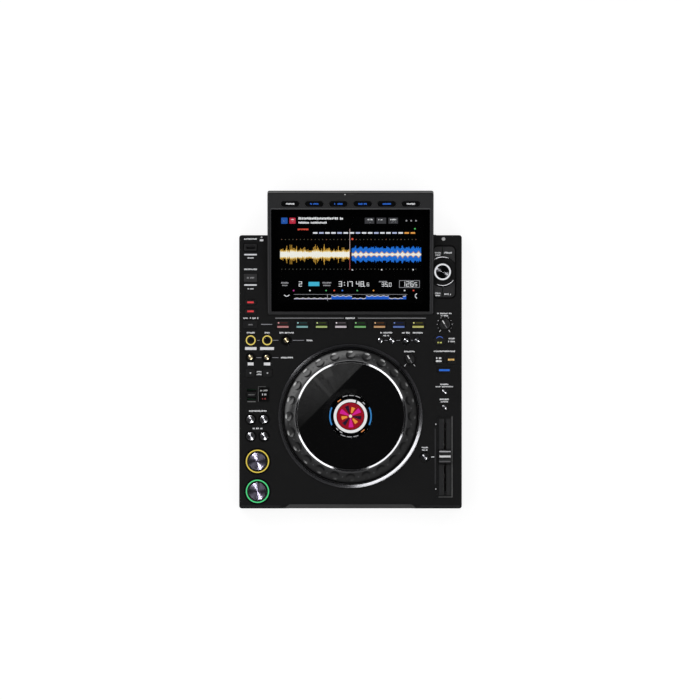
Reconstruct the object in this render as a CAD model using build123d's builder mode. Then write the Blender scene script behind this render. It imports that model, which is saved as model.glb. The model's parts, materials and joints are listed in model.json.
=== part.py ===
from build123d import *

import os
from math import acos, asin, cos, pi, radians, sin, tan

# Tabletop DJ media player: a low black case with a jog wheel, and a tilted touch screen over its back edge.
# Millimetres. +X to the user's right, +Y to the back, +Z up. The origin is on the table, under the middle
# of the whole machine.

cut_margin = 1.0  # how far outside the material a cut starts

# ---- Case
case_width = 329.0
case_depth = 404.0
deck_top = 70.0  # height of the deck above the table
deck_thickness = 3.0
case_wall = 2.5
case_corner = 4.0
edge_bevel = 1.5
foot_height = 8.0
foot_radius = 14.0
foot_bore = 4.9
foot_bevel = 0.8
foot_inset = (34.5, 40.0)
sheet = 1.6  # steel of the bottom plate and the rear panel
plate_gap = 0.3  # round the bottom plate and the rear panel
panel_setback = 1.0
scoop_half_width = 100.0  # finger scoop in the front edge
scoop_side = 10.0
scoop_depth = 6.0
scoop_drop = 12.0
scoop_end = 0.05  # depth left at the scoop's lower edge
scoop_backing = 6.0
cooling_slot = (40.0, 4.0)
cooling_pitch = (12.0, 60.0)
cooling_count = (9, 2)

# ---- Display
display_width = 245.0
display_length = 186.0  # along its slope
display_tilt = 15.0
display_thickness = 14.0
display_overhang = 65.2  # behind the case
display_corner = 3.0
bezel_thickness = 3.0
bezel_bevel = 0.8
glass_border = 5.5  # from each side of the display
glass_start = 5.3  # from its front edge
key_strip = 25.3  # from the glass to its back edge
glass_corner = 1.4
glass_thickness = 1.5
glass_sink = 0.1
glass_ledge = 3.0
lcd_thickness = 4.5
lcd_border = 1.5  # hidden behind the ledge
lcd_gap = 0.9
shell_wall = 2.5
shell_setback = 3.5
shell_rim = 3.5
neck_setback = 8.4  # from the case's back edge
display_key_count = 6
display_key_margin = 15.7  # at each end of the row of keys
display_key_space = 8.3  # between two keys
display_key_width = 8.6
display_key_inset = 16.5  # from the display's back edge to the row
display_key_proud = 0.6
display_switch_height = 2.9
display_board = (120.0, 60.0)
display_board_line = 105.0  # along the slope, to the board's middle
display_board_gap = 0.3
display_key_board = 16.0

# ---- Jog wheel, by radius and by height above the deck
jog_inset = 136.5  # from the case's front edge to the wheel's centre
jog_radius = 101.4
jog_rim_gap = 1.6  # between the wheel and the fixed rim round it
jog_rim_width = 3.3
jog_rim_height = 4.0
jog_rim_bevel = 0.6
jog_flange = 1.5
jog_gap = 1.6
jog_side_width = 3.4  # from the wheel's radius to its shoulder
jog_side_height = 5.0
jog_side_taper = (1.2, 3.0)
jog_shoulder_round = 0.8
jog_shoulder_drop = 0.9
jog_grip_width = 16.0
jog_grip_drop = 2.6  # the grip band is an arc, level at its inner edge
jog_bevel_width = 3.0  # bright bevel between the grip band and the platter
jog_window_radius = 33.0
jog_height = 18.0
jog_wall = 3.5
jog_wall_step = 4.0
jog_shell = 4.0
jog_lip = 9.3  # width of the ring's inner flange
jog_lip_thickness = 2.5
dimple_count = 24
dimple_inset = 7.7  # from the shoulder
dimple_radius = 7.2
dimple_depth = 1.6
platter_sink = 1.4
platter_gap = 0.2
platter_thickness = 3.6
platter_bevel = 0.3
window_thickness = 2.0
window_ledge = 1.0
dish_wall = 2.5
dish_depth = 12.0
dish_side_gap = 0.7
dish_hole_gap = 0.3
spindle_radius = 8.5
spindle_bore = 5.0
spindle_shoulder = 3.0
bearing_radius = 17.5
bearing_width = 7.0
bearing_lift = 2.5
bearing_space = 2.0
bearing_balls = 8
ball_radius = 2.4
race_wall = 2.2
hub_wall = 3.5
hub_plate = 2.5
hub_end_gap = 0.5
hub_rim_gap = 0.6
hub_land = 1.2  # ridge between the two bearings
hub_land_gap = 0.1
hub_holes = (8, 8.0)  # how many, and their radius
running_gap = 0.05
press_gap = 0.02
jog_screen_radius = 31.6
jog_screen_thickness = 3.2
jog_screen_gap = 0.5
screen_bevel = 0.3

# ---- Gears that turn the jog wheel's rotation sensor
gear_module = 1.25
hub_teeth = 48
encoder_teeth = 18
gear_width = 4.6
gear_lift = 3.8
gear_addendum = 0.9
gear_dedendum = 1.25
gear_backlash = 0.25
gear_overlap = 0.5  # of the gear's rim with the hub's wall
pressure_angle = radians(20.0)
flank_steps = 4
encoder_pin = 1.5
encoder_pin_proud = 1.0
encoder_boss = 1.8
encoder_end_gap = 0.3
encoder_disc = 14.0
encoder_disc_lift = 1.0
encoder_disc_thickness = 1.0

# ---- Push keys
key_gap = 0.35  # between a key and its hole
key_lip = 1.2  # flange that holds a key under the deck
key_lip_thickness = 1.4
key_lip_gap = 0.3
key_travel = 0.6
plunger_radius = 1.6
plunger_gap = 0.3
switch_size = 6.0
switch_height = 4.4
board_thickness = 1.6
board_drop = 10.4  # from the deck's underside to the top of the key boards
board_post = 2.5
well_depth = 0.8

# ---- Tempo control
fader_inset = (24.9, 76.1)  # from the right and front edges
fader_travel = 45.0  # each way
fader_slot_width = 3.0
fader_slot_gap = 0.5  # round the plate's slot, in the deck below it
fader_plate_width = 22.9
fader_plate_margin = 10.4  # beyond each end of the slot
fader_plate_thickness = 1.2
fader_plate_proud = 0.2
fader_stem = (1.8, 6.4)
fader_end_gap = 2.0
fader_box_width = 15.0
fader_box_margin = 8.8  # beyond each end of the slot
fader_box_height = 11.0
fader_box_wall = 1.5
fader_carriage = (8.0, 5.0)  # length and height
fader_carriage_gap = 0.4
fader_cap = (17.3, 22.0)
fader_cap_height = 8.8
fader_cap_lift = 2.2
fader_cap_foot = 2.6
fader_cap_slope = 3.0
fader_cap_valley = (1.2, 2.6)  # half width and depth

# ---- Direction lever
lever_inset = (18.2, 168.5)  # from the left and front edges
lever_width = 12.6
lever_length = 9.0
lever_gap = (0.4, 3.65)  # to the sides of its opening, and to the opening's ends
lever_pivot_depth = 5.0
lever_barrel = 6.0
lever_pin = 1.5
lever_height = 6.0
lever_back_bevel = (1.0, 2.0)
lever_front_bevel = (1.5, 3.0)
lug_thickness = 2.5
lug_length = 8.0
lug_height = 6.0

# ---- Browse selector
selector_inset = (28.5, 54.4)  # from the right and back edges
selector_plate = (30.8, 74.6)
selector_plate_shift = 2.5  # of the keys' plate, to the right of the knob
selector_plate_corner = 6.0
selector_plate_proud = 1.2
selector_plate_bevel = 0.4
selector_well = 23.0
selector_split = 1.0
selector_switches = (17.0, 60.0)
selector_shaft_radius = 3.0
selector_shaft_bevel = 0.4
selector_skirt = (13.2, 1.6)  # radius and height
selector_skirt_slope = (0.3, 1.4)
selector_grip = 12.5
selector_edge = 1.6
selector_dish = (2.4, 0.4, 0.5)  # rim width, slope width and depth of the knob's hollow top
selector_height = 17.0
selector_cap = 3.0  # thickness over the shaft's end
selector_cap_gap = 0.1
selector_lift = 1.4

# ---- Small knobs
knob_shaft = 3.0
knob_shaft_gap = 0.4
knob_lift = 0.7
knob_foot = 1.2
knob_taper = 0.9
knob_edge = 1.0
knob_flutes = 24
knob_flute_radius = 0.6
knob_flute_offset = 0.25
knob_flute_lift = 2.0
knob_pointer = (1.0, 0.5)  # width and depth
knob_pointer_margin = 2.4
pot_size = 10.0
selector_pot_size = 12.0

# ---- Light guides
ring_button_gap = 0.4
ring_reach = 3.1  # from a button's edge to its ring's outer edge
ring_depth = 1.5
ring_proud = 0.5
ring_bevel = 0.3
ring_gap = 0.1
bar_depth = 1.2
bar_proud = 0.2
bar_corner = 0.4

# ---- Media socket
media_frame = (18.5, 10.3)
media_frame_corner = 1.2
media_frame_height = 1.2
media_frame_bevel = 0.4
media_body = (17.3, 9.1)
media_gap = 0.3
media_mouth = (12.6, 5.2)
media_mouth_depth = 12.0
media_tongue = (11.2, 1.8)
media_tongue_shift = 1.4
media_tongue_length = 10.0

# ---- Inside
post_radius = 3.5
post_inset = 4.5  # from the side walls
pilot_depth = 10.0
screw_radius = 1.5
screw_head = (3.0, 1.6)
screw_head_bevel = 0.4
screw_cross = (3.4, 0.7, 0.9)  # length, width and depth
screw_length = 8.0
screw_gap = 0.1
standoff = 6.0
standoff_radius = 3.0
standoff_inset = 5.0
board_side_gap = 2.0  # from the key boards to the side walls
board_end_gap = (12.6, 12.4)  # from the key boards to the case's front and back edges
board_dish_gap = 1.4
board_half = 109.8  # half the width of the middle board
board_split = 1.5  # between the middle board and the side boards
board_row_margin = (8.0, 10.6)  # of the middle board, before the loop row and behind the hot cue row
board_tab = (18.0, 8.0)  # under the jog adjust knob: width, and length beyond the knob
reset_tab = (14.0, 15.0)
reset_tab_shift = 1.5
fader_board_gap = 1.0

# ---- Jacks on the rear panel
jack_block = 14.0
jack_depth = 13.0
jack_gap = 0.2
rca_places = (-98.0, -80.0, -56.0)
rca_radius = 4.15
rca_length = 8.0
rca_bore = 1.6
rca_collar = (6.0, 1.0)  # radius and thickness
socket_proud = 0.4
network_at = -24.0
network_size = (16.0, 14.0)
network_mouth = (11.8, 8.0)
network_latch = (5.0, 3.0)
network_back = 4.0
computer_at = 8.0
computer_size = (12.0, 11.0)
computer_mouth = (8.6, 7.9)
computer_tongue = (5.6, 3.2)
computer_back = 3.0
inlet_inset = 54.5  # from the case's right edge
inlet_rise = 8.0  # above the jacks' centre line
inlet_size = (27.4, 19.8)
inlet_corner = 2.0
inlet_flange = (3.0, 2.0)  # width all round and thickness
inlet_body = 20.0
inlet_mouth = (24.6, 16.6)
inlet_mouth_corner = 3.0
inlet_depth = 17.0
inlet_pin = (2.0, 4.0)
inlet_pin_spread = 7.0
inlet_ground_rise = 4.0
switch_x = 48.0
switch_cap = (12.0, 8.0)
switch_cap_corner = 0.9
switch_cap_proud = 2.6
switch_cap_depth = 4.0  # behind the panel
switch_cap_bevel = 0.6
switch_cap_lip = (0.8, 1.2)
switch_body_setback = 8.0
switch_body_depth = 8.0
switch_body_border = 2.0
switch_arm = 1.6
lock_slot = (7.0, 3.0)
lock_inset = 33.7  # from the case's left edge
lock_rise = 16.0
vent_slot = (24.0, 2.0)
vent_pitch = 4.0
vent_count = 6
vent_shift = 4.0

# ---- Places worked out from the sizes above
tilt = radians(display_tilt)
total_depth = case_depth + display_overhang
front = -total_depth / 2
rear = front + case_depth
left = -case_width / 2
right = case_width / 2
deck_under = deck_top - deck_thickness
floor_top = foot_height + sheet
board_top = deck_under - board_drop
switch_top = board_top + switch_height
flange_top = deck_under - key_lip_gap
flange_under = flange_top - key_lip_thickness
plunger_end = switch_top + key_travel + plunger_gap
panel_back = rear - panel_setback
inner_half = case_width / 2 - case_wall

display_lip = bezel_thickness * cos(tilt) + 0.1
display_front = total_depth / 2 - display_length * cos(tilt) - display_thickness * sin(tilt)
glass_size = (display_width - 2 * glass_border, display_length - glass_start - key_strip)
glass_middle = glass_start + glass_size[1] / 2
display_key_pitch = (display_width - 2 * display_key_margin) / display_key_count
display_key_size = (display_key_pitch - display_key_space, display_key_width)
display_key_line = display_length - display_key_inset
screen = Plane(
    origin=(0, display_front, deck_top + display_lip),
    x_dir=(1, 0, 0),
    z_dir=(0, -sin(tilt), cos(tilt)),
)
screen_axis = Axis(screen.origin, screen.z_dir)
neck = rear - neck_setback
opening_front = display_front + shell_setback + shell_rim
opening_back = neck - shell_wall
opening_half = display_width / 2 - shell_wall

jog_y = front + jog_inset
jog_rim_radius = jog_radius + jog_rim_gap + jog_rim_width
jog_shoulder = jog_radius - jog_side_width
jog_grip_inner = jog_shoulder - jog_grip_width
jog_platter_radius = jog_grip_inner - jog_bevel_width
dimple_circle = jog_shoulder - dimple_inset
jog_axis = Axis((0, jog_y, 0), (0, 0, 1))
jog_side = Plane(origin=(0, jog_y, 0), x_dir=(1, 0, 0), z_dir=(0, -1, 0))
jog_top = deck_top + jog_height
jog_base_top = deck_top + jog_flange
jog_bottom = jog_base_top + jog_gap
ring_bore = jog_platter_radius + platter_gap
platter_top = jog_top - platter_sink
platter_under = platter_top - platter_thickness
ring_flange_under = platter_under - jog_lip_thickness
dish_floor = deck_top - dish_depth + dish_wall
dish_radius = jog_radius - dish_side_gap
deck_bore = dish_radius + dish_hole_gap
hub_top = ring_flange_under
screen_under = hub_top + jog_screen_gap
gear_under = dish_floor + gear_lift
lower_bearing = dish_floor + bearing_lift
upper_bearing = lower_bearing + bearing_width + bearing_space
gear_centres = gear_module * (hub_teeth + encoder_teeth) / 2

fader_at = (right - fader_inset[0], front + fader_inset[1])
fader_slot = 2 * fader_travel + fader_stem[1] + 2 * fader_end_gap
fader_plate_size = (fader_plate_width, fader_slot + 2 * fader_plate_margin)
fader_box = (fader_box_width, fader_slot + 2 * fader_box_margin)
lever_at = (left + lever_inset[0], front + lever_inset[1])
lever_opening = (lever_width + 2 * lever_gap[0], lever_length + 2 * lever_gap[1])
lever_pivot = deck_top - lever_pivot_depth
selector_at = (right - selector_inset[0], rear - selector_inset[1])

# ---- Rear panel: the height that the jacks stand on, and the places of what sits above it
jack_floor = floor_top + standoff + board_thickness
jack_centre = jack_floor + jack_block / 2
switch_at = (switch_x, jack_centre + inlet_rise)
inlet_at = (right - inlet_inset, jack_centre + inlet_rise)
lock_at = (left + lock_inset, jack_centre + lock_rise)
vent_at = ((switch_at[0] + inlet_at[0]) / 2 - vent_shift, switch_at[1])
rear_plane = Plane(origin=(0, panel_back, 0), x_dir=(-1, 0, 0), z_dir=(0, 1, 0))

# ---- Keys on the deck: an outline and a place for each cap, then how proud they stand and their edge
round_large = ("round", 29.8)
round_metal = ("round", 13.3)
round_small = ("round", 9.4)
pad = ("box", 20.0, 12.0, 2.0)
transport_x = left + 27.0
left_x = left + 16.7
left_x2 = left + 41.4
loop_y = front + 248.6
row_y = front + 271.7
pad_start = -99.9
pad_pitch = 28.55
pad_count = 8
tempo_x = right - 24.8
reset_at = (109.8, fader_at[1])
play_at = (transport_x, front + 25.4)
cue_at = (transport_x, front + 69.7)
loop_in_at = (left + 17.0, loop_y)
loop_out_at = (left_x2, loop_y)
media_at = (left_x, rear - 18.0)
stop_at = (left_x, rear - 63.1)
reloop_at = (left + 69.6, loop_y)
beat_loop_at = [(left_x, front + 223.4), (left + 40.8, front + 223.4)]
memory_at = [(82.0, loop_y), (98.3, loop_y)]

keys = {
    "play_button": ([(round_large, play_at)], 4.0, 1.0),
    "cue_button": ([(round_large, cue_at)], 4.0, 1.0),
    "loop_in_button": ([(round_small, loop_in_at)], 2.0, 0.5),
    "loop_out_button": ([(round_small, loop_out_at)], 2.0, 0.5),
    "reloop_button": ([(round_small, reloop_at)], 2.0, 0.5),
    "beat_loop_keys": ([(("round", 9.0), place) for place in beat_loop_at], 1.6, 0.5),
    "beat_jump_keys": (
        [
            (("box", 14.0, 11.8, 2.5), (left_x, front + 200.2)),
            (("box", 14.0, 11.8, 2.5), (left + 41.8, front + 200.2)),
        ],
        1.8,
        0.6,
    ),
    "track_search_keys": (
        [(round_metal, (left + 17.1, front + 131.8)), (round_metal, (left + 36.7, front + 131.8))],
        2.0,
        0.6,
    ),
    "search_keys": (
        [(round_metal, (left + 17.1, front + 106.7)), (round_metal, (left + 36.7, front + 106.7))],
        2.0,
        0.6,
    ),
    "mode_keys": (
        [
            (("oval", 17.3, 8.0), (left_x, rear - 99.3)),
            (("oval", 17.3, 8.0), (left_x, rear - 112.6)),
            (("box", 20.8, 11.2, 2.0), (left_x, row_y)),
        ],
        1.4,
        0.5,
    ),
    "media_stop_key": ([(("box", 20.1, 12.4, 1.5), stop_at)], 1.6, 0.6),
    "cue_call_keys": ([(round_small, (44.0, loop_y)), (round_small, (61.0, loop_y))], 1.8, 0.5),
    "memory_keys": ([(round_small, place) for place in memory_at], 1.8, 0.5),
    "tempo_reset_key": ([(("round", 11.2), reset_at)], 1.6, 0.5),
    "tempo_keys": ([(round_small, (tempo_x, front + y)) for y in (172.7, 150.0)], 1.8, 0.5),
    "jog_mode_key": ([(("oval", 17.7, 14.5), (right - 32.7, loop_y))], 1.6, 0.6),
    "beat_sync_key": ([(("box", 12.6, 13.3, 1.6), (right - 34.0, front + 219.8))], 1.6, 0.6),
    "master_key": ([(("box", 12.6, 13.3, 1.6), (right - 15.7, front + 219.8))], 1.6, 0.6),
    "key_sync_key": ([(("box", 20.7, 7.4, 1.6), (right - 25.6, front + 204.4))], 1.6, 0.6),
}
for number in range(pad_count):
    place = (pad_start + pad_pitch * number, row_y)
    keys[f"hot_cue_{number + 1}"] = ([(pad, place)], 2.2, 0.6)
caps = [cap for members, proud, edge in keys.values() for cap in members]

# Shallow round wells in the deck: the place of each and its diameter
wells = [(reloop_at, 14.8), (beat_loop_at[0], 12.7), (beat_loop_at[1], 12.7), (memory_at[0], 12.7)]
# Light rings: the place of each and the radius of the button inside it
light_rings = [
    (play_at, round_large[1] / 2),
    (cue_at, round_large[1] / 2),
    (loop_in_at, round_small[1] / 2),
    (loop_out_at, round_small[1] / 2),
]
# Light bars: the place of each, its width and height
light_bars = [
    ((left_x, rear - 28.8), 20.7, 3.2),
    ((left_x, rear - 73.7), 20.7, 3.0),
    ((lever_at[0], lever_at[1] - 10.6), 12.0, 2.0),
]
# Knobs on the deck: name, place, diameter, height
adjust_at = (87.6, front + 220.5)
knobs = [
    ("vinyl_speed_knob", (right - 25.3, row_y + 0.5), 16.5, 12.0),
    ("jog_adjust_knob", adjust_at, 15.0, 11.0),
]

# Posts from the bottom plate to the deck, each with a screw from below
case_posts = [(side * (inner_half - post_inset), y) for side in (-1, 1) for y in (front + 7.1, rear - 7.4)]
case_posts += [(side * 105.0, y) for side in (-1, 1) for y in (front + 19.6, front + 214.6)]
# Short posts that hold the key boards under the deck
board_posts = [
    (left + 36.5, rear - 39.4),
    (left + 36.5, rear - 94.4),
    (left + 29.0, loop_y - 12.5),
    (left + 50.5, front + 184.6),
    (left + 50.5, front + 44.6),
    (pad_start + pad_pitch * 0.5, row_y),
    (pad_start + pad_pitch * 6.5, row_y),
    (-62.0, loop_y - 4.0),
    (20.0, loop_y - 4.0),
    (right - 6.5, rear - 14.0),
    (right - 6.5, rear - 96.0),
    (right - 46.5, front + 229.6),
    (right - 46.5, front + 184.6),
    (right - 43.5, front + 22.0),
]


def outline(shape, grow=0.0):
    """Adds a key's outline, grown all round, to the sketch being drawn."""
    if shape[0] == "round":
        Circle(shape[1] / 2 + grow)
    elif shape[0] == "oval":
        SlotOverall(shape[1] + 2 * grow, shape[2] + 2 * grow)
    else:
        RectangleRounded(shape[1] + 2 * grow, shape[2] + 2 * grow, shape[3] + grow)


def browse_outline(grow, split):
    """Adds the four browse keys round the selector's well, grown all round, with this gap between pairs."""
    width, length = selector_plate
    with Locations((selector_plate_shift, 0)):
        RectangleRounded(width + 2 * grow, length + 2 * grow, selector_plate_corner + grow)
    Circle(selector_well - grow, mode=Mode.SUBTRACT)
    if split:
        Rectangle(split, length + 4 * grow, mode=Mode.SUBTRACT)


def on_screen(along, depth):
    """The (y, z) of a point this far along the display's slope and this far below its face."""
    y = display_front + along * cos(tilt) + depth * sin(tilt)
    return (y, deck_top + display_lip + along * sin(tilt) - depth * cos(tilt))


def along_at(y, depth):
    """How far along the display's slope a point of this y and depth lies."""
    return (y - display_front - depth * sin(tilt)) / cos(tilt)


def gear_points(teeth, turn):
    """Corner points of an involute gear: each flank follows the involute of the base circle, and the tooth is
    thinned by the backlash. The first tooth is centred at the angle turn."""
    pitch = gear_module * teeth / 2
    base = pitch * cos(pressure_angle)
    root = pitch - gear_dedendum * gear_module
    tip = pitch + gear_addendum * gear_module
    half_tooth = pi / (2 * teeth) - gear_backlash / (2 * pitch)
    rolled = tan(pressure_angle) - pressure_angle
    flank = []
    for step in range(flank_steps + 1):
        radius = root + (tip - root) * step / flank_steps
        angle = acos(min(1.0, base / radius))
        flank.append((radius, half_tooth + rolled - tan(angle) + angle))
    points = []
    for tooth in range(teeth):
        middle = turn + 2 * pi * tooth / teeth
        points += [(r * cos(middle - half), r * sin(middle - half)) for r, half in flank]
        points += [(r * cos(middle + half), r * sin(middle + half)) for r, half in reversed(flank)]
    return points


def save(piece, name):
    """Labels a finished piece and writes it."""
    piece.part.label = name
    export_step(piece.part, f"parts/{name}.step")


os.makedirs("parts", exist_ok=True)

# ---- Top case: deck and side walls in one moulding, open below and at the back
with BuildPart() as top_case:
    middle_y = (front + rear) / 2
    with BuildSketch(Plane.XY.offset(foot_height)):
        with Locations((0, middle_y)):
            RectangleRounded(case_width, case_depth, case_corner)
    extrude(amount=deck_top - foot_height)
    chamfer(top_case.faces().sort_by(Axis.Z)[-1].edges(), edge_bevel)
    with BuildSketch(Plane.XY.offset(foot_height)):
        with Locations((0, middle_y + case_wall)):
            Rectangle(2 * inner_half, case_depth)
    extrude(amount=deck_under - foot_height, mode=Mode.SUBTRACT)
    # backing behind the finger scoop, then the scoop itself
    with BuildSketch(Plane.XY.offset(deck_under)):
        with Locations((0, front + case_wall + scoop_backing / 2)):
            Rectangle(2 * scoop_half_width + 2 * case_wall, scoop_backing)
    extrude(amount=-(scoop_drop + case_wall))
    with BuildSketch(Plane.XY.offset(deck_top)):
        Polygon(
            (-scoop_half_width, front - cut_margin),
            (scoop_half_width, front - cut_margin),
            (scoop_half_width - scoop_side, front + scoop_depth),
            (scoop_side - scoop_half_width, front + scoop_depth),
            align=None,
        )
    with BuildSketch(Plane.XY.offset(deck_top - scoop_drop)):
        Polygon(
            (scoop_side - scoop_half_width, front - cut_margin),
            (scoop_half_width - scoop_side, front - cut_margin),
            (scoop_half_width - scoop_side, front + scoop_end),
            (scoop_side - scoop_half_width, front + scoop_end),
            align=None,
        )
    loft(ruled=True, mode=Mode.SUBTRACT)
    # posts for the bottom plate's screws and for the key boards
    with BuildSketch(Plane.XY.offset(floor_top)):
        with Locations(*case_posts):
            Circle(post_radius)
    extrude(amount=deck_under - floor_top)
    with BuildSketch(Plane.XY.offset(floor_top)):
        with Locations(*case_posts):
            Circle(screw_radius + screw_gap)
    extrude(amount=pilot_depth, mode=Mode.SUBTRACT)
    with BuildSketch(Plane.XY.offset(board_top)):
        with Locations(*board_posts):
            Circle(board_post)
    extrude(amount=deck_under - board_top)
    # lugs that carry the direction lever's pin
    lug_offset = lever_opening[0] / 2 + lug_thickness / 2
    with BuildSketch(Plane.XY.offset(deck_under)):
        with Locations((lever_at[0] - lug_offset, lever_at[1]), (lever_at[0] + lug_offset, lever_at[1])):
            Rectangle(lug_thickness, lug_length)
    extrude(amount=-lug_height)
    with BuildSketch(Plane(origin=(lever_at[0], lever_at[1], lever_pivot), z_dir=(1, 0, 0))):
        Circle(lever_pin + running_gap)
    extrude(amount=lug_offset + lug_thickness, both=True, mode=Mode.SUBTRACT)
    # round opening for the jog wheel's dish, and the opening under the display
    with BuildSketch(Plane.XY.offset(deck_top)):
        with Locations((0, jog_y)):
            Circle(deck_bore)
        with Locations((0, (opening_front + opening_back) / 2)):
            Rectangle(2 * opening_half, opening_back - opening_front)
    extrude(amount=-deck_thickness, mode=Mode.SUBTRACT)
    # holes for the push keys, knobs, selector, lever and media socket
    with BuildSketch(Plane.XY.offset(deck_top)):
        for shape, place in caps:
            with Locations(place):
                outline(shape, key_gap)
        for name, place, width, height in knobs:
            with Locations(place):
                Circle(knob_shaft + knob_shaft_gap)
        with Locations(selector_at):
            Circle(selector_shaft_radius + knob_shaft_gap)
        with Locations(lever_at):
            Rectangle(*lever_opening)
        with Locations(media_at):
            Rectangle(media_body[0] + 2 * media_gap, media_body[1] + 2 * media_gap)
        with Locations(fader_at):
            SlotOverall(fader_slot + 2 * fader_slot_gap, fader_slot_width + 2 * fader_slot_gap, rotation=90)
    extrude(amount=-deck_thickness, mode=Mode.SUBTRACT)
    with BuildSketch(Plane.XY.offset(deck_top)):
        with Locations(selector_at):
            browse_outline(key_gap, 0)
    extrude(amount=-deck_thickness, mode=Mode.SUBTRACT)
    # pockets for the fader's dress plate, the light rings and bars, and the shallow wells
    with BuildSketch(Plane.XY.offset(deck_top)):
        with Locations(fader_at):
            Rectangle(fader_plate_size[0] + 2 * ring_gap, fader_plate_size[1] + 2 * ring_gap)
    extrude(amount=fader_plate_proud - fader_plate_thickness, mode=Mode.SUBTRACT)
    with BuildSketch(Plane.XY.offset(deck_top)):
        for place, button in light_rings:
            with Locations(place):
                Circle(button + ring_reach + ring_gap)
    extrude(amount=-ring_depth, mode=Mode.SUBTRACT)
    with BuildSketch(Plane.XY.offset(deck_top)):
        for place, width, height in light_bars:
            with Locations(place):
                RectangleRounded(width + 2 * ring_gap, height + 2 * ring_gap, bar_corner + ring_gap)
    extrude(amount=-bar_depth, mode=Mode.SUBTRACT)
    with BuildSketch(Plane.XY.offset(deck_top)):
        for place, width in wells:
            with Locations(place):
                Circle(width / 2)
    extrude(amount=-well_depth, mode=Mode.SUBTRACT)
save(top_case, "top_case")

# ---- Bottom plate: sheet steel with standoffs for the main board and the power supply
plate_half = inner_half - plate_gap
plate_length = case_depth - case_wall - plate_gap - panel_setback
main_board = ((-32.0, rear - 76.0), (180.0, 146.0))
supply_board = ((right - 54.5, rear - 84.0), (80.0, 108.0))


def board_corners(board):
    """The four standoffs under a board given by its centre and size."""
    (x, y), (width, length) = board
    across, along = width / 2 - standoff_inset, length / 2 - standoff_inset
    return [(x + i * across, y + j * along) for i in (-1, 1) for j in (-1, 1)]


with BuildPart() as bottom_plate:
    with BuildSketch(Plane.XY.offset(foot_height)):
        with Locations((0, front + case_wall + plate_gap + plate_length / 2)):
            Rectangle(2 * plate_half, plate_length)
        with Locations(*case_posts):
            Circle(screw_radius + screw_gap, mode=Mode.SUBTRACT)
    extrude(amount=sheet)
    with BuildSketch(Plane.XY.offset(floor_top)):
        with Locations(*board_corners(main_board), *board_corners(supply_board)):
            Circle(standoff_radius)
    extrude(amount=standoff)
    # cooling slots
    with BuildSketch(Plane.XY.offset(foot_height)):
        with Locations((0, jog_y)):
            with GridLocations(*cooling_pitch, *cooling_count):
                SlotOverall(*cooling_slot, rotation=90)
    extrude(amount=sheet, mode=Mode.SUBTRACT)
save(bottom_plate, "bottom_plate")

foot_rows = (front + foot_inset[1], rear - foot_inset[1])
foot_places = [(side * (case_width / 2 - foot_inset[0]), y) for side in (-1, 1) for y in foot_rows]
with BuildPart() as feet:
    with BuildSketch():
        with Locations(*foot_places):
            Circle(foot_radius)
            Circle(foot_bore, mode=Mode.SUBTRACT)
    extrude(amount=foot_height)
    chamfer(feet.edges().filter_by(GeomType.CIRCLE).group_by(Axis.Z)[0], foot_bevel)
save(feet, "feet")

with BuildPart() as case_screws:
    with BuildSketch(Plane.XY.offset(foot_height)):
        with Locations(*case_posts):
            Circle(screw_head[0])
    extrude(amount=-screw_head[1])
    chamfer(case_screws.edges().group_by(Axis.Z)[0], screw_head_bevel)
    with BuildSketch(Plane.XY.offset(foot_height - screw_head[1])):
        with Locations(*case_posts):
            Rectangle(screw_cross[0], screw_cross[1])
            Rectangle(screw_cross[1], screw_cross[0])
    extrude(amount=screw_cross[2], mode=Mode.SUBTRACT)
    with BuildSketch(Plane.XY.offset(foot_height)):
        with Locations(*case_posts):
            Circle(screw_radius)
    extrude(amount=screw_length)
save(case_screws, "case_screws")

# ---- Rear panel: sheet steel with a hole for every jack
def facing_back(x, z):
    """A place on the rear panel as its own plane sees it, from behind."""
    return (-x, z)


with BuildPart() as rear_panel:
    panel_height = deck_under - floor_top
    with BuildSketch(rear_plane):
        with Locations((0, floor_top + panel_height / 2)):
            Rectangle(2 * (inner_half - plate_gap), panel_height)
        for x in rca_places:
            with Locations(facing_back(x, jack_centre)):
                Circle(rca_radius + jack_gap, mode=Mode.SUBTRACT)
        with Locations(facing_back(network_at, jack_floor + network_size[1] / 2)):
            Rectangle(network_size[0] + 2 * jack_gap, network_size[1] + 2 * jack_gap, mode=Mode.SUBTRACT)
        with Locations(facing_back(computer_at, jack_floor + computer_size[1] / 2)):
            Rectangle(computer_size[0] + 2 * jack_gap, computer_size[1] + 2 * jack_gap, mode=Mode.SUBTRACT)
        with Locations(facing_back(*switch_at)):
            hole = (switch_cap[0] + 2 * key_gap, switch_cap[1] + 2 * key_gap)
            RectangleRounded(*hole, switch_cap_corner + key_gap, mode=Mode.SUBTRACT)
        with Locations(facing_back(*inlet_at)):
            hole = (inlet_size[0] + 2 * jack_gap, inlet_size[1] + 2 * jack_gap)
            RectangleRounded(*hole, inlet_corner, mode=Mode.SUBTRACT)
        with Locations(facing_back(*lock_at)):
            SlotOverall(*lock_slot, mode=Mode.SUBTRACT)
        with Locations(facing_back(*vent_at)):
            with GridLocations(vent_pitch, 0, vent_count, 1):
                SlotOverall(*vent_slot, rotation=90, mode=Mode.SUBTRACT)
    extrude(amount=-sheet)
save(rear_panel, "rear_panel")

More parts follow.
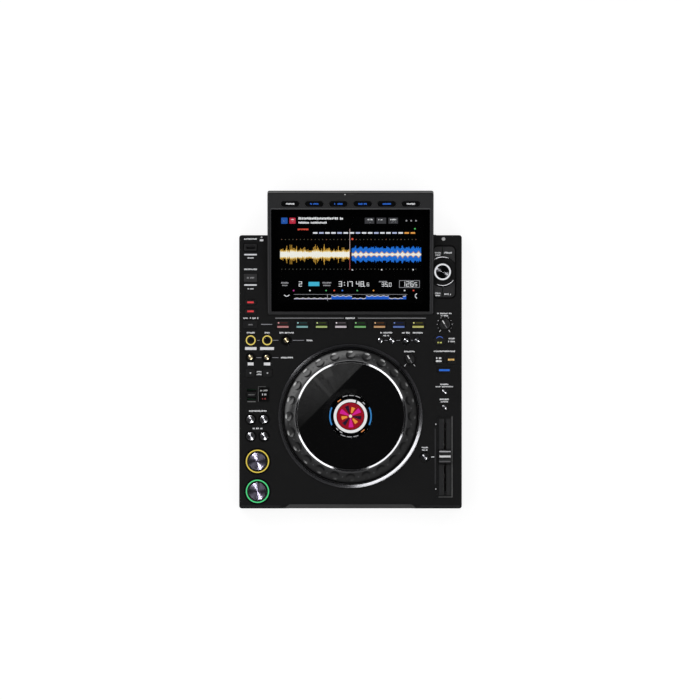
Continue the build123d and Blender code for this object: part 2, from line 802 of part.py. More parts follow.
with BuildPart() as rear_jacks:
    # three round jacks, each a block on the main board with a barrel through the panel
    for x in rca_places:
        with BuildSketch(rear_plane.offset(-sheet)):
            with Locations(facing_back(x, jack_centre)):
                Rectangle(jack_block, jack_block)
        extrude(amount=-jack_depth)
        with BuildSketch(rear_plane.offset(-sheet)):
            with Locations(facing_back(x, jack_centre)):
                Circle(rca_radius)
        extrude(amount=sheet + rca_length)
        with BuildSketch(rear_plane):
            with Locations(facing_back(x, jack_centre)):
                Circle(rca_collar[0])
        extrude(amount=rca_collar[1])
        with BuildSketch(rear_plane.offset(rca_length)):
            with Locations(facing_back(x, jack_centre)):
                Circle(rca_bore)
        extrude(amount=-rca_length, mode=Mode.SUBTRACT)
    # network socket
    with BuildSketch(rear_plane.offset(socket_proud)):
        with Locations(facing_back(network_at, jack_floor + network_size[1] / 2)):
            Rectangle(*network_size)
    extrude(amount=-(jack_depth + network_back))
    with BuildSketch(rear_plane.offset(socket_proud)):
        with Locations(facing_back(network_at, jack_floor + network_size[1] / 2)):
            Rectangle(*network_mouth)
        with Locations(facing_back(network_at, jack_floor + network_size[1] / 2 - network_mouth[1] / 2)):
            Rectangle(*network_latch)
    extrude(amount=-jack_depth, mode=Mode.SUBTRACT)
    # computer socket, with its tongue
    with BuildSketch(rear_plane.offset(socket_proud)):
        with Locations(facing_back(computer_at, jack_floor + computer_size[1] / 2)):
            Rectangle(*computer_size)
    extrude(amount=-(jack_depth + computer_back))
    with BuildSketch(rear_plane.offset(socket_proud)):
        with Locations(facing_back(computer_at, jack_floor + computer_size[1] / 2)):
            Rectangle(*computer_mouth)
            Rectangle(*computer_tongue, mode=Mode.SUBTRACT)
    extrude(amount=-jack_depth, mode=Mode.SUBTRACT)
    # mains inlet: flange outside the panel, deep mouth with three pins
    with BuildSketch(rear_plane):
        with Locations(facing_back(*inlet_at)):
            flange = (inlet_size[0] + 2 * inlet_flange[0], inlet_size[1] + 2 * inlet_flange[0])
            RectangleRounded(*flange, inlet_corner + 1)
    extrude(amount=inlet_flange[1])
    with BuildSketch(rear_plane):
        with Locations(facing_back(*inlet_at)):
            RectangleRounded(*inlet_size, inlet_corner)
    extrude(amount=-inlet_body)
    with BuildSketch(rear_plane.offset(inlet_flange[1])):
        with Locations(facing_back(*inlet_at)):
            RectangleRounded(*inlet_mouth, inlet_mouth_corner)
        with Locations(facing_back(inlet_at[0], inlet_at[1] + inlet_ground_rise)):
            Rectangle(*inlet_pin, mode=Mode.SUBTRACT)
        for side in (-1, 1):
            with Locations(facing_back(inlet_at[0] + side * inlet_pin_spread, inlet_at[1])):
                Rectangle(*inlet_pin, mode=Mode.SUBTRACT)
    extrude(amount=-inlet_depth, mode=Mode.SUBTRACT)
    # body of the power switch behind its cap
    switch_body = (switch_cap[0] + 2 * switch_body_border, switch_cap[1] + 2 * switch_body_border)
    with BuildSketch(rear_plane.offset(-sheet - switch_body_setback)):
        with Locations(facing_back(*switch_at)):
            Rectangle(*switch_body)
    extrude(amount=-switch_body_depth)
    arm = (switch_body[0] + switch_arm) / 2
    with BuildSketch(rear_plane.offset(-sheet)):
        with Locations(*[facing_back(switch_at[0] + side * arm, switch_at[1]) for side in (-1, 1)]):
            Rectangle(switch_arm, switch_body[1])
    extrude(amount=-(switch_body_setback + switch_body_depth))
save(rear_jacks, "rear_jacks")

with BuildPart() as power_button:
    with BuildSketch(rear_plane.offset(switch_cap_proud)):
        with Locations(facing_back(*switch_at)):
            RectangleRounded(*switch_cap, switch_cap_corner)
    extrude(amount=-(sheet + switch_cap_proud + switch_cap_depth))
    chamfer(power_button.faces().sort_by(Axis.Y)[-1].edges(), switch_cap_bevel)
    with BuildSketch(rear_plane.offset(-sheet - key_lip_gap)):
        with Locations(facing_back(*switch_at)):
            Rectangle(switch_cap[0] + 2 * switch_cap_lip[0], switch_cap[1] + 2 * switch_cap_lip[1])
    extrude(amount=-key_lip_thickness)
save(power_button, "power_button")

# ---- Power supply: open board with its transformer, capacitors and heat sink
supply_under = floor_top + standoff
transformer_size = (32.0, 28.0)
transformer_height = 26.0
large_capacitor = 10.0  # radius
small_capacitor = 5.0
capacitor_height = 24.0
heat_sink_size = (34.0, 3.0)
heat_sink_fin = (1.4, 14.0)
heat_sink_pitch = 6.0
heat_sink_fins = 6
heat_sink_height = 28.0
with BuildPart() as power_supply:
    (supply_x, supply_y), (supply_width, supply_length) = supply_board
    with BuildSketch(Plane.XY.offset(supply_under)):
        with Locations((supply_x, supply_y)):
            Rectangle(supply_width, supply_length)
    extrude(amount=board_thickness)
    with BuildSketch(Plane.XY.offset(supply_under + board_thickness)):
        with Locations((supply_x - 12.0, supply_y + 4.0)):
            Rectangle(*transformer_size)
    extrude(amount=transformer_height)
    with BuildSketch(Plane.XY.offset(supply_under + board_thickness)):
        with Locations((supply_x + 22.0, supply_y + 30.0), (supply_x + 22.0, supply_y + 4.0)):
            Circle(large_capacitor)
        with Locations((supply_x - 24.0, supply_y - 34.0), (supply_x - 6.0, supply_y - 34.0)):
            Circle(small_capacitor)
    extrude(amount=capacitor_height)
    with BuildSketch(Plane.XY.offset(supply_under + board_thickness)):
        with Locations((supply_x + 14.0, supply_y - 26.0)):
            Rectangle(*heat_sink_size)
            with GridLocations(heat_sink_pitch, 0, heat_sink_fins, 1):
                Rectangle(*heat_sink_fin)
    extrude(amount=heat_sink_height)
save(power_supply, "power_supply")

# ---- Circuit boards: main board, three key boards with a switch under every key, two display boards
processor_size = 34.0
memory_size = (22.0, 14.0)
audio_chip_size = (14.0, 40.0)
chip_height = 3.0
cooler_fin = 1.2
cooler_pitch = 4.0
cooler_fins = 9
cooler_spine = 4.0
cooler_height = 10.0
with BuildPart() as circuit_boards:
    (main_x, main_y), (main_width, main_length) = main_board
    with BuildSketch(Plane.XY.offset(supply_under)):
        with Locations((main_x, main_y)):
            Rectangle(main_width, main_length)
    extrude(amount=board_thickness)
    with BuildSketch(Plane.XY.offset(jack_floor)):
        with Locations((main_x - 40.0, main_y + 5.0)):
            Rectangle(processor_size, processor_size)
        with Locations((main_x + 20.0, main_y - 10.0), (main_x + 20.0, main_y + 25.0)):
            Rectangle(*memory_size)
        with Locations((main_x + 60.0, main_y - 30.0)):
            Rectangle(*audio_chip_size)
    extrude(amount=chip_height)
    # heat sink on the processor
    with BuildSketch(Plane.XY.offset(jack_floor + chip_height)):
        with Locations((main_x - 40.0, main_y + 5.0)):
            with GridLocations(cooler_pitch, 0, cooler_fins, 1):
                Rectangle(cooler_fin, processor_size)
            Rectangle(processor_size, cooler_spine)
    extrude(amount=cooler_height)
    # key boards, cut back round the dish, the fader and the case posts
    side_low, side_high = front + board_end_gap[0], rear - board_end_gap[1]
    side_outer = inner_half - board_side_gap
    side_inner = board_half + board_split
    centre_low, centre_high = loop_y - board_row_margin[0], row_y + board_row_margin[1]
    tab_low, tab_high = adjust_at[1] - board_tab[1], centre_low + cut_margin
    with BuildSketch(Plane.XY.offset(board_top)):
        for side in (-1, 1):
            with Locations((side * (side_outer + side_inner) / 2, (side_low + side_high) / 2)):
                Rectangle(side_outer - side_inner, side_high - side_low)
        with Locations((0, (centre_low + centre_high) / 2)):
            Rectangle(2 * board_half, centre_high - centre_low)
        with Locations((adjust_at[0], (tab_low + tab_high) / 2)):
            Rectangle(board_tab[0], tab_high - tab_low)
        with Locations((reset_at[0] - reset_tab_shift, reset_at[1])):
            Rectangle(*reset_tab)
        with Locations((0, jog_y)):
            Circle(deck_bore + board_dish_gap, mode=Mode.SUBTRACT)
        with Locations(fader_at):
            cut = (fader_box[0] + 2 * fader_board_gap, fader_box[1] + 2 * fader_board_gap)
            Rectangle(*cut, mode=Mode.SUBTRACT)
    extrude(amount=-board_thickness)
    with BuildSketch(Plane.XY.offset(board_top)):
        for shape, place in caps:
            with Locations(place):
                Rectangle(switch_size, switch_size)
        with Locations(selector_at):
            with GridLocations(*selector_switches, 2, 2):
                Rectangle(switch_size, switch_size)
    extrude(amount=switch_height)
    # bodies of the rotary controls
    with BuildSketch(Plane.XY.offset(board_top)):
        for name, place, width, height in knobs:
            with Locations(place):
                Rectangle(pot_size, pot_size)
        with Locations(selector_at):
            Rectangle(selector_pot_size, selector_pot_size)
    extrude(amount=switch_height)
    # display boards: one behind the panel, one under the keys
    with BuildSketch(screen.offset(-bezel_thickness - lcd_thickness - display_board_gap)):
        with Locations((0, display_board_line)):
            Rectangle(*display_board)
    extrude(amount=-board_thickness)
    with BuildSketch(screen.offset(shell_wall - display_thickness)):
        with Locations((0, display_key_line)):
            Rectangle(display_key_pitch * display_key_count, display_key_board)
    extrude(amount=board_thickness)
    with BuildSketch(screen.offset(shell_wall - display_thickness + board_thickness)):
        with Locations((0, display_key_line)):
            with GridLocations(display_key_pitch, 0, display_key_count, 1):
                Rectangle(switch_size, switch_size)
    extrude(amount=display_switch_height)
save(circuit_boards, "circuit_boards")

# ---- Display
with BuildPart() as display_shell:
    foot_front = display_front + shell_setback
    with BuildSketch(Plane.YZ):
        with BuildLine():
            Polyline(
                (foot_front, deck_top),
                on_screen(along_at(foot_front, bezel_thickness), bezel_thickness),
                on_screen(display_length, bezel_thickness),
                on_screen(display_length, display_thickness),
                on_screen(along_at(neck, display_thickness), display_thickness),
                (neck, deck_top),
                close=True,
            )
        make_face()
    extrude(amount=display_width / 2, both=True)
    with BuildSketch(screen):
        with Locations((0, display_length / 2)):
            RectangleRounded(display_width, display_length, display_corner)
    extrude(amount=-display_length, mode=Mode.INTERSECT)
    inner_face = bezel_thickness - cut_margin
    inner_thickness = display_thickness - shell_wall
    inner_end = display_length - shell_wall
    with BuildSketch(Plane.YZ):
        with BuildLine():
            Polyline(
                (opening_front, deck_top - cut_margin),
                on_screen(along_at(opening_front, inner_face), inner_face),
                on_screen(inner_end, inner_face),
                on_screen(inner_end, inner_thickness),
                on_screen(along_at(opening_back, inner_thickness), inner_thickness),
                (opening_back, deck_top - cut_margin),
                close=True,
            )
        make_face()
    extrude(amount=opening_half, both=True, mode=Mode.SUBTRACT)
save(display_shell, "display_shell")

with BuildPart() as display_bezel:
    with BuildSketch(screen):
        with Locations((0, display_length / 2)):
            RectangleRounded(display_width, display_length, display_corner)
    extrude(amount=-bezel_thickness)
    chamfer(display_bezel.faces().sort_by(screen_axis)[-1].edges(), bezel_bevel)
    with BuildSketch(screen):
        with Locations((0, glass_middle)):
            seat = (glass_size[0] + 2 * ring_gap, glass_size[1] + 2 * ring_gap)
            RectangleRounded(*seat, glass_corner + ring_gap)
    extrude(amount=-(glass_thickness + glass_sink), mode=Mode.SUBTRACT)
    with BuildSketch(screen):
        with Locations((0, glass_middle)):
            Rectangle(glass_size[0] - 2 * glass_ledge, glass_size[1] - 2 * glass_ledge)
        with Locations((0, display_key_line)):
            with GridLocations(display_key_pitch, 0, display_key_count, 1):
                SlotOverall(display_key_size[0] + 2 * key_gap, display_key_size[1] + 2 * key_gap)
    extrude(amount=-bezel_thickness, mode=Mode.SUBTRACT)
save(display_bezel, "display_bezel")

with BuildPart() as touch_glass:
    with BuildSketch(screen.offset(-glass_sink)):
        with Locations((0, glass_middle)):
            RectangleRounded(*glass_size, glass_corner)
    extrude(amount=-glass_thickness)
save(touch_glass, "touch_glass")

lcd_start = along_at(opening_front, bezel_thickness) + lcd_gap
lcd_end = glass_start + glass_size[1] - glass_ledge + lcd_border
with BuildPart() as lcd_panel:
    with BuildSketch(screen.offset(-bezel_thickness)):
        with Locations((0, (lcd_start + lcd_end) / 2)):
            Rectangle(glass_size[0] - 2 * glass_ledge + 2 * lcd_border, lcd_end - lcd_start)
    extrude(amount=-lcd_thickness)
save(lcd_panel, "lcd_panel")

with BuildPart() as display_keys:
    flange_depth = bezel_thickness + key_lip_gap
    with BuildSketch(screen.offset(display_key_proud)):
        with Locations((0, display_key_line)):
            with GridLocations(display_key_pitch, 0, display_key_count, 1):
                SlotOverall(*display_key_size)
    extrude(amount=-(flange_depth + key_lip_thickness + display_key_proud))
    chamfer(display_keys.edges().group_by(screen_axis)[-1], screen_bevel)
    with BuildSketch(screen.offset(-flange_depth)):
        with Locations((0, display_key_line)):
            with GridLocations(display_key_pitch, 0, display_key_count, 1):
                SlotOverall(display_key_size[0] + 2 * key_lip, display_key_size[1] + 2 * key_lip)
    extrude(amount=-key_lip_thickness)
    with BuildSketch(screen.offset(-flange_depth - key_lip_thickness)):
        with Locations((0, display_key_line)):
            with GridLocations(display_key_pitch, 0, display_key_count, 1):
                Circle(plunger_radius)
    switch_face = display_thickness - shell_wall - board_thickness - display_switch_height
    extrude(amount=-(switch_face - key_travel - plunger_gap - flange_depth - key_lip_thickness))
save(display_keys, "display_keys")

# ---- Jog wheel
with BuildPart() as jog_base:
    with BuildSketch(jog_side):
        with BuildLine():
            Polyline(
                (spindle_bore, dish_floor - dish_wall),
                (dish_radius, dish_floor - dish_wall),
                (dish_radius, deck_top),
                (jog_rim_radius, deck_top),
                (jog_rim_radius, deck_top + jog_rim_height - jog_rim_bevel),
                (jog_rim_radius - jog_rim_bevel, deck_top + jog_rim_height),
                (jog_rim_radius - jog_rim_width, deck_top + jog_rim_height),
                (jog_rim_radius - jog_rim_width, jog_base_top),
                (dish_radius - dish_wall, jog_base_top),
                (dish_radius - dish_wall, dish_floor),
                (spindle_radius + spindle_shoulder, dish_floor),
                (spindle_radius + spindle_shoulder, lower_bearing),
                (spindle_radius, lower_bearing),
                (spindle_radius, screen_under),
                (spindle_bore, screen_under),
                close=True,
            )
        make_face()
    revolve(axis=jog_axis)
    with BuildSketch(Plane.XY.offset(dish_floor)):
        with Locations((gear_centres, jog_y)):
            Circle(encoder_pin)
    extrude(amount=gear_under + gear_width + encoder_pin_proud - dish_floor)
save(jog_base, "jog_base")

with BuildPart() as jog_bearings:
    groove = (spindle_radius + bearing_radius) / 2
    for height in (lower_bearing, upper_bearing):
        with BuildSketch(jog_side):
            for inner in (spindle_radius + press_gap, bearing_radius - race_wall):
                with Locations((inner + race_wall / 2, height + bearing_width / 2)):
                    Rectangle(race_wall, bearing_width)
            with Locations((groove, height + bearing_width / 2)):
                Circle(ball_radius + running_gap, mode=Mode.SUBTRACT)
        revolve(axis=jog_axis)
        with Locations((0, jog_y, height + bearing_width / 2)):
            with PolarLocations(groove, bearing_balls):
                Sphere(ball_radius)
save(jog_bearings, "jog_bearings")

hub_bore = bearing_radius + running_gap
hub_radius = hub_bore + hub_wall
land_low = lower_bearing + bearing_width + hub_land_gap
land_high = upper_bearing - hub_land_gap
with BuildPart() as jog_hub:
    with BuildSketch(jog_side):
        with BuildLine():
            Polyline(
                (hub_bore, lower_bearing + hub_end_gap),
                (hub_radius, lower_bearing + hub_end_gap),
                (hub_radius, hub_top - hub_plate),
                (ring_bore - hub_rim_gap, hub_top - hub_plate),
                (ring_bore - hub_rim_gap, hub_top),
                (hub_bore, hub_top),
                (hub_bore, land_high),
                (hub_bore - hub_land, land_high),
                (hub_bore - hub_land, land_low),
                (hub_bore, land_low),
                close=True,
            )
        make_face()
    revolve(axis=jog_axis)
    with BuildSketch(Plane(origin=(0, jog_y, gear_under))):
        with BuildLine():
            Polyline(*gear_points(hub_teeth, 0.0), close=True)
        make_face()
        Circle(hub_radius - gear_overlap, mode=Mode.SUBTRACT)
    extrude(amount=gear_width)
    # lightening holes in the plate
    with BuildSketch(Plane.XY.offset(hub_top)):
        with Locations((0, jog_y)):
            with PolarLocations((hub_radius + ring_bore) / 2, hub_holes[0]):
                Circle(hub_holes[1])
    extrude(amount=-hub_plate, mode=Mode.SUBTRACT)
save(jog_hub, "jog_hub")

with BuildPart() as encoder_gear:
    with BuildSketch(Plane(origin=(gear_centres, jog_y, gear_under))):
        with BuildLine():
            Polyline(*gear_points(encoder_teeth, pi / encoder_teeth), close=True)
        make_face()
    extrude(amount=gear_width)
    with BuildSketch(Plane(origin=(gear_centres, jog_y, dish_floor + encoder_end_gap))):
        Circle(encoder_pin + encoder_boss)
    extrude(amount=gear_under - dish_floor - encoder_end_gap)
    with BuildSketch(Plane(origin=(gear_centres, jog_y, dish_floor + encoder_disc_lift))):
        Circle(encoder_disc)
    extrude(amount=encoder_disc_thickness)
    with BuildSketch(Plane(origin=(gear_centres, jog_y, dish_floor))):
        Circle(encoder_pin + running_gap)
    extrude(amount=2 * (gear_under - dish_floor + gear_width), mode=Mode.SUBTRACT)
save(encoder_gear, "encoder_gear")

with BuildPart() as jog_ring:
    side_top = jog_bottom + jog_side_height
    shoulder_top = jog_top - jog_grip_drop
    grip_end = jog_shoulder - jog_shoulder_round
    grip_run = grip_end - jog_grip_inner
    grip_arc = (grip_run**2 + jog_grip_drop**2) / (2 * jog_grip_drop)
    grip_turn = asin(grip_run / grip_arc) / 2
    grip_middle = (jog_grip_inner + grip_arc * sin(grip_turn), jog_top - grip_arc * (1 - cos(grip_turn)))
    with BuildSketch(jog_side):
        with BuildLine():
            Polyline(
                (jog_grip_inner, jog_top),
                (ring_bore, platter_top + ring_gap),
                (ring_bore, platter_under),
                (ring_bore - jog_lip, platter_under),
                (ring_bore - jog_lip, ring_flange_under),
                (jog_shoulder - jog_shell, ring_flange_under),
                (jog_radius - jog_wall, jog_bottom + jog_wall_step),
                (jog_radius - jog_wall, jog_bottom),
                (jog_radius, jog_bottom),
                (jog_radius, side_top),
                (jog_radius - jog_side_taper[0], side_top + jog_side_taper[1]),
                (jog_shoulder + jog_shoulder_round, shoulder_top - jog_shoulder_drop),
                (grip_end, shoulder_top),
            )
            ThreePointArc((grip_end, shoulder_top), grip_middle, (jog_grip_inner, jog_top))
        make_face()
    revolve(axis=jog_axis)
    # finger dimples: shallow spherical caps round the grip band, each square to the band's slope
    ball = (dimple_radius**2 + dimple_depth**2) / (2 * dimple_depth)
    dimple_lean = asin((dimple_circle - jog_grip_inner) / grip_arc)
    ball_out = (ball - dimple_depth) * sin(dimple_lean)
    ball_up = (ball - dimple_depth) * cos(dimple_lean)
    with Locations((0, jog_y, jog_top - grip_arc * (1 - cos(dimple_lean)) + ball_up)):
        with PolarLocations(dimple_circle + ball_out, dimple_count, start_angle=90):
            Sphere(ball, mode=Mode.SUBTRACT)
save(jog_ring, "jog_ring")

with BuildPart() as jog_platter:
    with BuildSketch(jog_side):
        with BuildLine():
            Polyline(
                (jog_window_radius - window_ledge, platter_under),
                (jog_platter_radius, platter_under),
                (jog_platter_radius, platter_top - platter_bevel),
                (jog_platter_radius - platter_bevel, platter_top),
                (jog_window_radius + platter_gap, platter_top),
                (jog_window_radius + platter_gap, platter_top - window_thickness),
                (jog_window_radius - window_ledge, platter_top - window_thickness),
                close=True,
            )
        make_face()
    revolve(axis=jog_axis)
save(jog_platter, "jog_platter")

with BuildPart() as jog_window:
    with BuildSketch(Plane.XY.offset(platter_top - window_thickness)):
        with Locations((0, jog_y)):
            Circle(jog_window_radius)
    extrude(amount=window_thickness)
save(jog_window, "jog_window")

with BuildPart() as jog_display:
    with BuildSketch(Plane.XY.offset(screen_under)):
        with Locations((0, jog_y)):
            Circle(jog_screen_radius)
    extrude(amount=jog_screen_thickness)
    chamfer(jog_display.edges().group_by(Axis.Z)[-1], screen_bevel)
save(jog_display, "jog_display")

# ---- Light guides: rings round the transport and loop buttons, bars by the media socket and the lever
with BuildPart() as light_guides:
    with BuildSketch(Plane.XY.offset(deck_top - ring_depth)):
        for place, button in light_rings:
            with Locations(place):
                Circle(button + ring_reach)
                Circle(button + ring_button_gap, mode=Mode.SUBTRACT)
    extrude(amount=ring_depth + ring_proud)
    chamfer(light_guides.edges().group_by(Axis.Z)[-1], ring_bevel)
    with BuildSketch(Plane.XY.offset(deck_top - bar_depth)):
        for place, width, height in light_bars:
            with Locations(place):
                RectangleRounded(width, height, bar_corner)
    extrude(amount=bar_depth + bar_proud)
save(light_guides, "light_guides")

# ---- Media socket: a framed socket for a memory stick, with its tongue
with BuildPart() as media_port:
    with BuildSketch(Plane.XY.offset(deck_top)):
        with Locations(media_at):
            RectangleRounded(*media_frame, media_frame_corner)
    extrude(amount=media_frame_height)
    chamfer(media_port.faces().sort_by(Axis.Z)[-1].edges(), media_frame_bevel)
    with BuildSketch(Plane.XY.offset(deck_top)):
        with Locations(media_at):
            Rectangle(*media_body)
    extrude(amount=board_top - deck_top)
    mouth_top = deck_top + media_frame_height
    with BuildSketch(Plane.XY.offset(mouth_top)):
        with Locations(media_at):
            Rectangle(*media_mouth)
    extrude(amount=-media_mouth_depth, mode=Mode.SUBTRACT)
    with BuildSketch(Plane.XY.offset(mouth_top - media_mouth_depth)):
        with Locations((media_at[0], media_at[1] + media_tongue_shift)):
            Rectangle(*media_tongue)
    extrude(amount=media_tongue_length)
save(media_port, "media_port")

# ---- Push keys on the deck: cap, flange under the deck and plunger over its switch
for name, (members, proud, edge) in keys.items():
    with BuildPart() as key:
        with BuildSketch(Plane.XY.offset(flange_under)):
            for shape, place in members:
                with Locations(place):
                    outline(shape)
        extrude(amount=deck_top + proud - flange_under)
        chamfer(key.edges().group_by(Axis.Z)[-1], edge)
        with BuildSketch(Plane.XY.offset(flange_under)):
            for shape, place in members:
                with Locations(place):
                    outline(shape, key_lip)
        extrude(amount=key_lip_thickness)
        with BuildSketch(Plane.XY.offset(plunger_end)):
            for shape, place in members:
                with Locations(place):
                    Circle(plunger_radius)
        extrude(amount=flange_under - plunger_end)
    save(key, name)

# ---- Browse selector: four keys round the well, a shaft that presses, a knob that turns on it
with BuildPart() as browse_keys:
    with BuildSketch(Plane.XY.offset(flange_under)):
        with Locations(selector_at):
            browse_outline(0.0, selector_split)
    extrude(amount=deck_top + selector_plate_proud - flange_under)
    chamfer(browse_keys.edges().group_by(Axis.Z)[-1], selector_plate_bevel)
    with BuildSketch(Plane.XY.offset(flange_under)):
        with Locations(selector_at):
            browse_outline(key_lip, selector_split)
    extrude(amount=key_lip_thickness)
    with BuildSketch(Plane.XY.offset(plunger_end)):
        with Locations(selector_at):
            with GridLocations(*selector_switches, 2, 2):
                Circle(plunger_radius)
    extrude(amount=flange_under - plunger_end)
save(browse_keys, "browse_keys")

shaft_top = deck_top + selector_height - selector_cap
with BuildPart() as selector_shaft:
    with BuildSketch(Plane.XY.offset(plunger_end)):
        with Locations(selector_at):
            Circle(selector_shaft_radius)
    extrude(amount=shaft_top - plunger_end)
    chamfer(selector_shaft.edges().group_by(Axis.Z)[-1], selector_shaft_bevel)
save(selector_shaft, "selector_shaft")

with BuildPart() as selector_knob:
    knob_low = deck_top + selector_lift
    knob_high = deck_top + selector_height
    skirt_top = knob_low + selector_skirt[1]
    bore = selector_shaft_radius + running_gap
    bore_top = shaft_top + selector_cap_gap
    rim_width, rim_slope, hollow = selector_dish
    with BuildSketch(Plane(origin=(*selector_at, 0), x_dir=(1, 0, 0), z_dir=(0, -1, 0))):
        with BuildLine():
            Polyline(
                (bore, knob_low),
                (selector_skirt[0], knob_low),
                (selector_skirt[0], skirt_top),
                (selector_grip + selector_skirt_slope[0], skirt_top + selector_skirt_slope[1]),
                (selector_grip, knob_high - selector_edge),
                (selector_grip - selector_edge, knob_high),
                (selector_grip - rim_width, knob_high),
                (selector_grip - rim_width - rim_slope, knob_high - hollow),
                (0, knob_high - hollow),
                (0, bore_top),
                (bore, bore_top),
                close=True,
            )
        make_face()
    revolve(axis=Axis((*selector_at, 0), (0, 0, 1)))
save(selector_knob, "selector_knob")

# ---- Small knobs: each one is a cap and shaft that turn together
for name, place, width, height in knobs:
    knob_low = deck_top + knob_lift
    knob_high = deck_top + height
    with BuildPart() as knob:
        with BuildSketch(Plane(origin=(*place, 0), x_dir=(1, 0, 0), z_dir=(0, -1, 0))):
            with BuildLine():
                Polyline(
                    (0, switch_top + plunger_gap),
                    (knob_shaft, switch_top + plunger_gap),
                    (knob_shaft, knob_low),
                    (width / 2, knob_low),
                    (width / 2, knob_low + knob_foot),
                    (width / 2 - knob_taper, knob_high - knob_edge),
                    (width / 2 - knob_taper - knob_edge, knob_high),
                    (0, knob_high),
                    close=True,
                )
            make_face()
        revolve(axis=Axis((*place, 0), (0, 0, 1)))
        # grip flutes
        with BuildSketch(Plane.XY.offset(knob_low + knob_flute_lift)):
            with Locations(place):
                with PolarLocations(width / 2 + knob_flute_offset, knob_flutes):
                    Circle(knob_flute_radius)
        extrude(amount=height, mode=Mode.SUBTRACT)
        # pointer groove on the top
        with BuildSketch(Plane.XY.offset(knob_high)):
            with Locations((place[0], place[1] + width / 4)):
                Rectangle(knob_pointer[0], width / 2 - knob_pointer_margin)
        extrude(amount=-knob_pointer[1], mode=Mode.SUBTRACT)
    save(knob, name)

# ---- Direction lever: a blade on a barrel, turning on a pin between the case's lugs
with BuildPart() as direction_lever:
    lever_side = Plane(origin=(*lever_at, lever_pivot), x_dir=(0, 1, 0), z_dir=(1, 0, 0))
    blade_top = deck_top + lever_height - lever_pivot
    with BuildSketch(lever_side):
        Circle(lever_barrel)
        with BuildLine():
            Polyline(
                (-lever_length / 2, 0),
                (lever_length / 2, 0),
                (lever_length / 2, blade_top - lever_back_bevel[1]),
                (lever_length / 2 - lever_back_bevel[0], blade_top),
                (lever_front_bevel[0] - lever_length / 2, blade_top),
                (-lever_length / 2, blade_top - lever_front_bevel[1]),
                close=True,
            )
        make_face()
    extrude(amount=lever_width / 2, both=True)
    with BuildSketch(lever_side):
        Circle(lever_pin)
    extrude(amount=lever_opening[0] / 2 + lug_thickness - jack_gap, both=True)
save(direction_lever, "direction_lever")

# ---- Tempo control: dress plate, slide body under the deck, cap with stem and carriage
with BuildPart() as fader_plate:
    with BuildSketch(Plane.XY.offset(deck_top + fader_plate_proud)):
        with Locations(fader_at):
            Rectangle(*fader_plate_size)
            SlotOverall(fader_slot, fader_slot_width, rotation=90, mode=Mode.SUBTRACT)
    extrude(amount=-fader_plate_thickness)
save(fader_plate, "fader_plate")

box_under = deck_under - fader_box_height
with BuildPart() as fader_body:
    with BuildSketch(Plane.XY.offset(box_under)):
        with Locations(fader_at):
            Rectangle(*fader_box)
    extrude(amount=fader_box_height)
    with BuildSketch(Plane.XY.offset(box_under + fader_box_wall)):
        with Locations(fader_at):
            Rectangle(fader_box[0] - 2 * fader_box_wall, fader_box[1] - 2 * fader_box_wall)
    extrude(amount=fader_box_height - 2 * fader_box_wall, mode=Mode.SUBTRACT)
    with BuildSketch(Plane.XY.offset(deck_under)):
        with Locations(fader_at):
            SlotOverall(fader_slot, fader_slot_width, rotation=90)
    extrude(amount=-fader_box_wall, mode=Mode.SUBTRACT)
save(fader_body, "fader_body")

with BuildPart() as tempo_slider:
    carriage_low = box_under + fader_box_wall + fader_carriage_gap
    carriage_length, carriage_height = fader_carriage
    cap_low = deck_top + fader_cap_lift
    cap_high = cap_low + fader_cap_height
    half_cap = fader_cap[1] / 2
    with BuildSketch(Plane.XY.offset(carriage_low)):
        with Locations(fader_at):
            Rectangle(fader_box[0] - 2 * (fader_box_wall + fader_carriage_gap), carriage_length)
    extrude(amount=carriage_height)
    with BuildSketch(Plane.XY.offset(carriage_low + carriage_height)):
        with Locations(fader_at):
            Rectangle(*fader_stem)
    extrude(amount=cap_low - carriage_low - carriage_height)
    with BuildSketch(Plane(origin=(*fader_at, 0), x_dir=(0, 1, 0), z_dir=(1, 0, 0))):
        with BuildLine():
            Polyline(
                (-half_cap, cap_low),
                (half_cap, cap_low),
                (half_cap, cap_low + fader_cap_foot),
                (half_cap - fader_cap_slope, cap_high),
                (fader_cap_valley[0], cap_high - fader_cap_valley[1]),
                (-fader_cap_valley[0], cap_high - fader_cap_valley[1]),
                (fader_cap_slope - half_cap, cap_high),
                (-half_cap, cap_low + fader_cap_foot),
                close=True,
            )
        make_face()
    extrude(amount=fader_cap[0] / 2, both=True)
save(tempo_slider, "tempo_slider")
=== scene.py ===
# %% [markdown]
# # A tabletop media player for a DJ
# The player is a low black case with a big jog wheel, a touch screen that leans over its back edge, and
# about forty small keys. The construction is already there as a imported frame: every solid piece, at its
# real size, in metres. This lesson adds what the frame can't say: the finish of each surface, the light
# behind the keys, the printed marks, the picture on the two screens, and the thin metal and glass parts
# that catch the light.

# %% Load the frame
import json
from math import cos, pi, radians, sin

